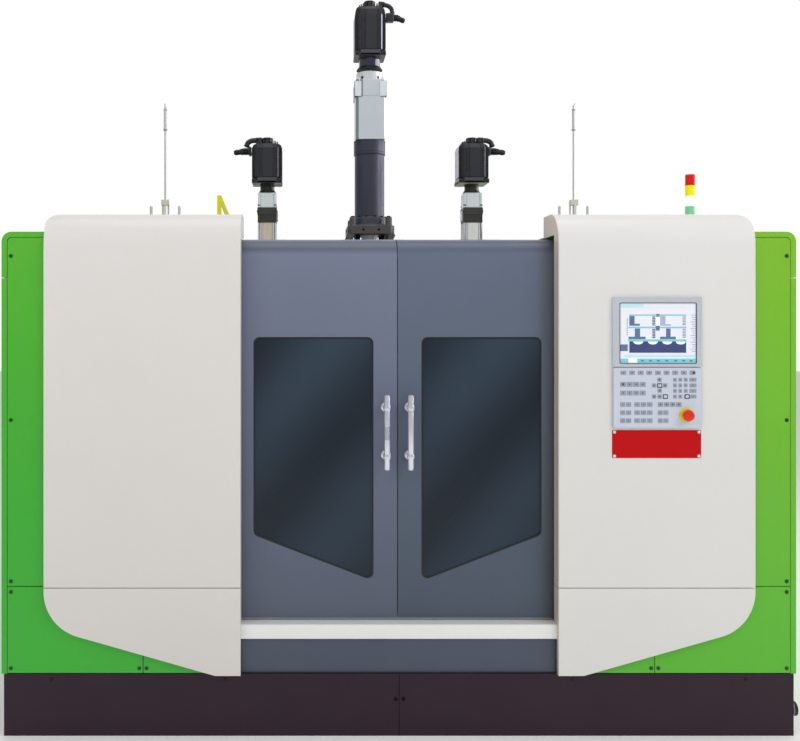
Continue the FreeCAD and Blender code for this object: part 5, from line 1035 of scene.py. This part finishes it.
def handle(side_name, side):
    """Round bar with eased ends on two collared standoffs; the left one has a ringed grip."""
    x, y, middle, half = side * 0.048, DOOR_FRONT - 0.062, 1.221, 0.1525
    r, length = 0.0122, 2 * half
    eased = [(0, 0), (0.0008, r * 0.55), (0.003, r * 0.86), (0.007, r)]
    profile = eased[:]
    if side < 0:
        for i in range(7):
            at = half - 0.027 + i * 0.0078
            profile += [(at, r), (at + 0.001, r * 0.8), (at + 0.0036, r * 0.8), (at + 0.0046, r)]
    profile += [(length - along, radius) for along, radius in reversed(eased)]
    shape = Shape()
    shape.turned(profile, (x, y, middle - half), UP, HANDLE_STEEL, 40)
    if side < 0:
        grip = [(0, r * 0.8), (0.0005, r * 0.86), (0.051, r * 0.86), (0.0515, r * 0.8)]
        shape.turned(grip, (x, y, middle - 0.027), UP, PIPE_GREY, 40)
    collar = [(0, r * 1.16), (0.002, r * 1.24), (0.016, r * 1.24), (0.018, r * 1.16)]
    standoff = [(0, 0.0077), (0.044, 0.0077), (0.046, 0.0095), (0.051, 0.0175), (0.053, 0.02), (0.062, 0.02)]
    for z in (1.125, 1.32):
        shape.turned(collar, (x, y, z - 0.009), UP, HANDLE_STEEL, 40)
        shape.turned(standoff, (x, y, z), (0, 1, 0), HANDLE_STEEL, 40)
    shape.put(f"{side_name}_handle_bar", f"{side_name}_door", "handle", f"{side_name}_door_handle")


def window_outline(side, shrink):
    """The window's opening, whose lower edge slants, made smaller all round."""
    inner, outer, top = 0.098 + shrink, 0.588 - shrink, 1.605 - shrink
    outer_low, inner_low = 0.797 + shrink, 0.609 + shrink * 1.3
    corners = [(side * inner, top), (side * outer, top), (side * outer, outer_low), (side * inner, inner_low)]
    return rounded(corners, 0.025 - shrink * 0.5)


def window_seal(side_name, side):
    """The dark rubber about a window."""
    shape = Shape()
    outer, inner = window_outline(side, 0.0003), window_outline(side, 0.006)
    shape.ring(outer, inner, DOOR_FRONT + 0.0004, DOOR_FRONT + 0.003, Y, RUBBER)
    shape.put(f"{side_name}_window_seal", f"{side_name}_door", "window")


for side_name, side in SIDES:
    handle(side_name, side)
for side_name, side in SIDES:
    window_seal(side_name, side)


# ---------------------------------------------------------------- operator panel

# Keys and fields are placed by columns to the right and rows down, and these are the panel's upper left
# corner and the columns' and rows' width.
PANEL_X, PANEL_COLUMN, COLUMN_WIDTH = 0.850, 110, 0.0004506
PANEL_TOP, PANEL_ROW, ROW_HEIGHT = 1.766, 68, 0.0004529
PANEL_RIGHT = 1.206
PANEL_FACE = low_end("hmi_housing", Y)
SHEET = PANEL_FACE - 0.0014
STOP_X, STOP_Z = middle_of("estop_button", X), middle_of("estop_button", Z)


def panel_x(column):
    """x of a column of the panel."""
    return PANEL_X + (column - PANEL_COLUMN) * COLUMN_WIDTH


def panel_z(row):
    """z of a row of the panel."""
    return PANEL_TOP - (row - PANEL_ROW) * ROW_HEIGHT


def panel_area(left, right, top, bottom):
    """An area of the panel, from its columns and rows, as (x, x, z, z)."""
    return panel_x(left), panel_x(right), panel_z(bottom), panel_z(top)


def bezel():
    """The housing's frame about the screen, its lower plate and the dark lip inside the frame."""
    shape = Shape()
    outer = rounded(rectangle(PANEL_X, PANEL_RIGHT, 1.487, PANEL_TOP), 0.006)
    hole = rounded(rectangle(0.877, 1.184, 1.500, 1.743), 0.006)
    shape.ring(outer, hole, PANEL_FACE, FRONT, Y, BEZEL)
    lower = rounded(rectangle(PANEL_X, PANEL_RIGHT, 1.242, 1.4845), 0.006)
    shape.prism(lower, PANEL_FACE + 0.0006, FRONT, Y, BEZEL, 0.0012)
    lip_out = rounded(rectangle(0.8764, 1.1846, 1.4994, 1.7436), 0.006)
    lip_in = rounded(rectangle(0.8792, 1.1818, 1.5022, 1.7408), 0.004)
    shape.ring(lip_out, lip_in, PANEL_FACE - 0.0005, PANEL_FACE + 0.003, Y, DARK_PRINT_AND_SHADE)
    shape.block((0.872, FRONT, 1.264), (1.184, FRONT + 0.068, 1.744), BEZEL, 0.003)
    shape.put("panel_bezel", ROOT, "panel_bezel", "hmi_housing")


# The screen's plain fields: columns from and to, rows from and to, colour, and height of the raised ones.
RAISED = 0.0006
STATIONS = [
    (257, 303, 236, 322, SCREEN_SLATE),
    (303, 350, 304, 322, SCREEN_SLATE),
    (530, 577, 236, 322, SCREEN_LAVENDER),
    (577, 626, 308, 322, SCREEN_LAVENDER),
    (497, 526, 250, 318, SCREEN_WHITE),
    (305, 352, 346, 420, SCREEN_SLATE),
    (250, 400, 418, 440, SCREEN_SLATE),
    (582, 622, 346, 420, SCREEN_SLATE),
    (530, 668, 418, 440, SCREEN_SLATE),
    (490, 526, 322, 364, SCREEN_SLATE, RAISED),
    (495, 524, 217, 242, SCREEN_MARK, RAISED),
]
FOOT_BARS = [
    (176, 243, 486, 545, SCREEN_SLATE),
    (216, 848, 577, 600, SCREEN_PALE),
    (176, 848, 612, 648, SCREEN_CYAN),
    (248, 326, 612, 648, SCREEN_WHITE, RAISED),
]


def screen():
    """The screen with a machine picture drawn in plain fields of colour."""
    shape = Shape()
    face = PANEL_FACE + 0.0028
    shape.block((0.879, face, 1.502), (1.182, face + 0.006, 1.741), SCREEN_BACK, 0.0005, 1)

    def field(left, right, top, bottom, material, lift=0.0004):
        """A plain field, given by its columns and rows, that stands lift before the screen."""
        x0, x1, z0, z1 = panel_area(left, right, top, bottom)
        shape.block((x0, face - lift, z0), (x1, face, z1), material, 0.00008, 1)

    field(176, 385, 126, 160, SCREEN_PALE)
    field(176, 848, 163, 166, SCREEN_PALE)
    for top, bottom, left in ((222, 234, 255), (330, 344, 246), (442, 460, 246)):
        field(left, 762, top, bottom, SCREEN_CYAN, 0.0003)
    for area in STATIONS:
        field(*area)
    for row in range(6):
        top = 240 + row * 14
        for level in (top, top + 110):
            field(460, 487, level, level + 9, SCREEN_DEEP)
            field(728, 757, level, level + 7, SCREEN_MARK)
    for row in range(9):
        field(234, 242, 258 + row * 17, 268 + row * 17, SCREEN_MARK)
    for row in range(17):
        field(800 + (row % 3) * 8, 846, 224 + row * 20, 231 + row * 20, SCREEN_LAVENDER)
    field(257, 760, 460, 560, SCREEN_DEEP)
    half_circle = [math.pi * k / 14 for k in range(15)]
    for middle in (335, 465, 592, 712):
        dial = [(panel_x(middle + 44 * math.cos(a)), panel_z(461 + 25 * math.sin(a))) for a in half_circle]
        shape.prism(dial, face - RAISED, face, Y, SCREEN_WHITE)
    for area in FOOT_BARS:
        field(*area)
    for left in (358, 432, 500, 575, 655, 725, 790):
        field(left, left + 26, 624, 636, SCREEN_SLATE, RAISED)
    shape.put("screen_face", ROOT, "screen", "hmi_screen")


def keypad():
    """The keypad's foil with its blocks of keys, their marks and the stop button's yellow collar."""
    shape = Shape()
    foil = rounded(rectangle(0.853, 1.203, 1.2445, 1.4825), 0.005)
    shape.prism(foil, SHEET, PANEL_FACE + 0.0006, Y, FOIL, 0.0003, 1)

    def key(column, row, wide, high, material=KEY, rise=0.0009):
        """A key reaching wide and high from its middle."""
        area = panel_area(column - wide, column + wide, row - high, row + high)
        shape.prism(rounded(rectangle(*area), 0.0016, 3), SHEET - rise, SHEET, Y, material, 0.0003, 1)

    def mark(column, row, size=5):
        """A square dark mark on a key, reaching size from its middle."""
        x0, x1, z0, z1 = panel_area(column - size, column + size, row - size, row + size)
        shape.block((x0, SHEET - 0.0012, z0), (x1, SHEET - 0.0008, z1), DARK_PRINT_AND_SHADE, 0.0001, 1)

    for i in range(9):
        column = 201 + i * 76.3
        key(column, 736, 26, 18)
        if i < 8:
            mark(column, 736)
    mark(column + 12, 736, 11)
    for row in (838, 914):
        for i in range(4):
            key(198 + i * 58, row, 26, 21)
            mark(198 + i * 58, row, 9 if (i, row) == (0, 838) else 5)
    for column, row in ((520, 797), (472, 848), (570, 848), (522, 893), (472, 945), (522, 945)):
        key(column, row, 19, 18)
        mark(column, row, 6)
    for column, row in ((522, 848), (572, 945), (765, 945)):
        key(column, row, 22, 20, DARK_PRINT_AND_SHADE, 0.0012)
        key(column, row, 14, 12, FOIL, 0.0016)
    for row in (797, 847, 895, 945):
        for column, wide in ((657, 16), (704, 16), (752, 16), (816, 31)):
            key(column, row, wide, 17)
            mark(column, row, 4)
    for row, last_group in ((1015, (505, 4, 54)), (1087, (505, 2, 50)), (1157, (505, 2, 50))):
        for start, count, step in ((172, 2, 52), (297, 3, 56), last_group):
            wide = step / 2 - 3
            for i in range(count):
                column = start + i * step + wide
                key(column, row, wide, 20)
                mark(column, row, 6 if count == 4 else 4)
    collar = [(0, 0.027), (0.0015, 0.0285), (0.005, 0.0285), (0.0085, 0.0255), (0.0088, 0.012), (0, 0.0115)]
    shape.turned(collar, (STOP_X, SHEET, STOP_Z), FORWARD, STOP_YELLOW, 56)
    shape.put("keypad_face", ROOT, "keypad", "keypad_panel")


def stop_button():
    """The red mushroom head on its dark stem."""
    low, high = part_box("estop_button")
    depth, r = 0.02, 0.0225
    head = low.y + depth
    crown = [
        (0.002, 0.94), (0.008, 1), (0.013, 0.99), (0.0165, 0.92),
        (0.0188, 0.78), (0.0198, 0.55), (depth, 0.3),
    ]
    profile = [(0, 0.0105), (0, r * 0.8)] + [(along, r * share) for along, share in crown] + [(depth, 0)]
    shape = Shape()
    shape.turned(profile, (STOP_X, head, STOP_Z), FORWARD, STOP_RED, 56)
    shape.rod((STOP_X, head, STOP_Z), (STOP_X, high.y, STOP_Z), 0.011, DARK_PRINT_AND_SHADE, 0.001)
    shape.put("stop_mushroom", "stop_head", "stop_red", "estop_button")


def red_plate():
    """The bare red plate below the panel, held by four screws."""
    shape = Shape()
    bottom, top, face = 1.122, 1.234, FRONT - 0.002
    outline = rounded(rectangle(PANEL_X, PANEL_RIGHT, bottom, top), 0.004)
    shape.prism(outline, face, FRONT, Y, RED_SIGN, 0.0005, 1)
    screw = [(0, 0.0062), (0.0014, 0.0062), (0.0028, 0.0046), (0.003, 0.002), (0.0022, 0.0018), (0.0022, 0)]
    for x in (PANEL_X + 0.009, PANEL_RIGHT - 0.009):
        for z in (bottom + 0.008, top - 0.008):
            shape.turned(screw, (x, face, z), FORWARD, PALE_STEEL, 24)
    shape.put("red_sign_plate", ROOT, "red_sign", "red_plate")


bezel()
screen()
keypad()
stop_button()
red_plate()


# ---------------------------------------------------------------- signal tower

TOWER_X, TOWER_Y = middle_of("signal_base", X), middle_of("signal_base", Y)


def lens(colour):
    """A ribbed lens of the tower; the red one on top carries the cap."""
    node = f"signal_{colour}"
    low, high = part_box(node)
    height = high.z - low.z
    profile = [(0, 0.0205), (0.001, 0.0215), (0.002, 0.0225)]
    ribs = 9
    step = (height - 0.008) / ribs
    for i in range(ribs):
        z = 0.003 + i * step
        profile += [(z, 0.0224), (z + step * 0.45, 0.0224)]
        profile += [(z + step * 0.6, 0.0216), (z + step * 0.9, 0.0216)]
    profile += [(height - 0.004, 0.0225), (height - 0.0015, 0.0225)]
    profile += [(height - 0.001, 0.0205), (height, 0.0205)]
    shape = Shape()
    shape.turned(profile, (TOWER_X, TOWER_Y, low.z), UP, LENS[colour], 56)
    if colour == "red":
        cap = [(0, 0.022), (0.003, 0.0215), (0.0042, 0.018), (0.0044, 0)]
        shape.turned(cap, (TOWER_X, TOWER_Y, high.z - 0.0002), UP, GREY_PLASTIC, 56)
    shape.put(f"lens_{colour}", ROOT, f"lens_{colour}", node)


def tower_foot():
    """The tower's screwed foot, its pole and the socket under the lowest lens."""
    low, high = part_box("signal_base")
    height = high.z - low.z
    profile = [
        (0, 0.036), (0.005, 0.036), (0.008, 0.033), (0.0085, 0.02), (0.012, 0.018), (height - 0.016, 0.018),
        (height - 0.012, 0.0235), (height - 0.002, 0.0248), (height, 0.0235),
    ]
    shape = Shape()
    shape.turned(profile, (TOWER_X, TOWER_Y, low.z), UP, GREY_PLASTIC, 56)
    for i in range(3):
        angle = math.radians(90 + 120 * i)
        x, y = TOWER_X + 0.028 * math.cos(angle), TOWER_Y + 0.028 * math.sin(angle)
        shape.screw((x, y, low.z + 0.0068), UP, 0.003, 0.002, STAINLESS, 14)
    shape.put("tower_foot", ROOT, "signal_foot", "signal_base")


for colour in LENS:
    lens(colour)
tower_foot()


# ---------------------------------------------------------------- screws, plinth and small fittings


def cover_screws():
    """Green socket screws of the front panels."""
    shape = Shape()
    washer = [(0, 0.0082), (0.0006, 0.0082), (0.0008, 0.007)]
    for side in (-1, 1):
        spots = [(1.562, z) for z in (1.932, 1.271, 0.622, 0.579, 0.272)]
        spots += [(x, z) for z in (0.272, 0.335) for x in (1.045, 1.016)]
        for x, z in spots:
            shape.turned(washer, (side * x, PANEL_FRONT, z), FORWARD, GREEN_SCREW, 24)
            shape.screw((side * x, PANEL_FRONT - 0.0002, z), FORWARD, 0.0062, 0.0035, GREEN_SCREW, 20)
    shape.put("cover_screws", ROOT, "green_panel")


def plinth_joint():
    """The joint in the middle of the plinth's front and the plinth's screws."""
    shape = Shape()
    start, end = (0, PANEL_FRONT - 0.0006, 0.004), (0.003, PANEL_FRONT + 0.001, 0.246)
    shape.block(start, end, BLACK_STEEL, 0.0002, 1)
    for x in (-0.012, 0.018):
        shape.screw((x, PANEL_FRONT, 0.148), FORWARD, 0.007, 0.004, BLACK_STEEL, 18)
    for x in (-1.4, -0.7, 0.7, 1.4):
        shape.screw((x, PANEL_FRONT, 0.225), FORWARD, 0.007, 0.004, PLINTH, 18)
    shape.put("plinth_joint", ROOT, "plinth_paint")


def pipe_end():
    """The service pipe's stub and cap at the plinth's right end."""
    shape = Shape()
    x, y, z = 1.59, -1.556, 0.088
    stub = [(0, 0.0265), (0.004, 0.0295), (0.014, 0.0295), (0.017, 0.027)]
    shape.turned(stub, (x, y, z), (1, 0, 0), PIPE_GREY, 40)
    cap = [(0, 0.0295), (0.006, 0.0295), (0.012, 0.0275), (0.0165, 0.022), (0.019, 0.014), (0.0198, 0.006)]
    cap.append((0.02, 0))
    shape.turned(cap, (x + 0.014, y, z), (1, 0, 0), PIPE_GREY, 40)
    shape.put("pipe_end", ROOT, "plinth_paint")


def lug():
    """Yellow lifting lug on the crosshead, with eased edges."""
    shape = Shape()
    x, width, top, spread, base, play = -0.838, 0.022, 2.3666, 0.1, 2.1, 0.0004
    left, right = x - width / 2, x + width / 2
    outline = [
        (left - play, base), (left - play, top), (right, top), (x + spread + width, base),
        (x + spread - width * 0.4, base), (right + play, top - width * 2), (right + play, base),
    ]
    shape.prism(outline, -0.1926, -0.1794, Y, YELLOW, 0.0012)
    shape.put("lug_yellow", ROOT, "frame_paint")


def trim_fittings(side_name, side):
    """Rings at both ends of the trim spindle's sleeve and the wire at its tip."""
    node = f"{side_name}_trim_head"
    low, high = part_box(node)
    x = 0.5 * (low.x + high.x)
    shape = Shape()
    for z, radius in ((2.761, 0.0118), (2.874, 0.0104)):
        profile = [(0, radius - 0.001), (0.001, radius), (0.005, radius), (0.006, radius - 0.001)]
        shape.turned(profile, (x, 0, z), UP, PIPE_GREY, 32)
    wire = [(0, 0), (0.0005, 0.006), (0.003, 0.011), (0.006, 0.016)]
    points = [Vector((x + side * out, 0, high.z - 0.002 + rise)) for out, rise in wire]
    shape.pipe(smooth_path(points), 0.0024, PIPE_GREY, 12)
    shape.put(f"{side_name}_trim_rings", f"{side_name}_trim", "head_steel")


cover_screws()
plinth_joint()
pipe_end()
lug()
for side_name, side in SIDES:
    trim_fittings(side_name, side)


# ---------------------------------------------------------------- floor, light and camera


def floor():
    """A plain pale studio floor."""
    n = Nodes("studio_floor_paint")
    colour = [0.97, 0.97, 0.97, 1]
    base = n.mix(n.spread(n.noise(0.8, 4), 0, 1), tinted(colour, 0.985), colour)
    n.finish(Base_Color=base, Roughness=0.7, Emission_Color=colour, Emission_Strength=0.1)
    bpy.ops.mesh.primitive_plane_add(size=60, location=(0, 0, 0))
    plane = bpy.context.object
    plane.name = "studio_floor"
    plane.data.materials.append(n.material)


def light(name, at, target, width, height, power, colour=(1, 1, 1), gloss=True, diffuse=True):
    """A soft rectangular lamp that the camera doesn't see."""
    data = bpy.data.lights.new(name, "AREA")
    data.shape = "RECTANGLE"
    data.size = width
    data.size_y = height
    data.energy = power
    data.color = colour
    lamp = bpy.data.objects.new(name, data)
    bpy.context.scene.collection.objects.link(lamp)
    lamp.location = at
    lamp.visible_camera = False
    lamp.visible_glossy = gloss
    lamp.visible_diffuse = diffuse
    lamp.rotation_euler = (Vector(target) - Vector(at)).to_track_quat("-Z", "Y").to_euler()


def world():
    """White behind the machine, where the camera looks, and dimmer to all other sides."""
    surroundings = bpy.data.worlds.new("studio")
    bpy.context.scene.world = surroundings
    surroundings.use_nodes = True
    tree = surroundings.node_tree
    background = tree.nodes["Background"]
    coords = tree.nodes.new("ShaderNodeTexCoord")
    split = tree.nodes.new("ShaderNodeSeparateXYZ")
    tree.links.new(coords.outputs["Generated"], split.inputs[0])
    ramp = tree.nodes.new("ShaderNodeMapRange")
    tree.links.new(split.outputs["Y"], ramp.inputs["Value"])
    for key, number in (("From Min", 0.6), ("From Max", 0.84), ("To Min", 0.4), ("To Max", 1.0)):
        ramp.inputs[key].default_value = number
    tree.links.new(ramp.outputs["Result"], background.inputs["Strength"])
    background.inputs["Color"].default_value = WHITE


def camera():
    """The photograph's view: level, from the front and a little to the left, shifted to frame the machine."""
    data = bpy.data.cameras.new("camera")
    data.sensor_width = 36
    data.lens = 43.875
    data.shift_x = 0.1275
    data.shift_y = -0.0556
    data.clip_end = 200
    eye = bpy.data.objects.new("camera", data)
    bpy.context.scene.collection.objects.link(eye)
    eye.location = (-0.406, -5.54, 1.65)
    eye.rotation_euler = (math.radians(90), 0, 0)
    bpy.context.scene.camera = eye


floor()
world()
light("key", (4.4, -6.4, 5.6), (0.2, -1, 1.3), 4.5, 3.0, 155, (1.0, 0.99, 0.97), gloss=False)
light("fill", (-4.6, -6.6, 4.8), (-0.3, -1, 1.3), 4.5, 3.0, 105, (0.98, 0.99, 1.0), gloss=False)
light("top", (0, -1.2, 6.5), (0, -0.4, 1.5), 5.0, 3.0, 60)
light("side", (6.4, -0.9, 3.0), (0, -0.2, 2.6), 1.8, 3.6, 60, gloss=False)
light("gleam", (6.4, 0.8, 4.2), (0, 0.8, 3.4), 8.0, 5.5, 480, diffuse=False)
camera()
bpy.context.scene.view_settings.view_transform = "Standard"
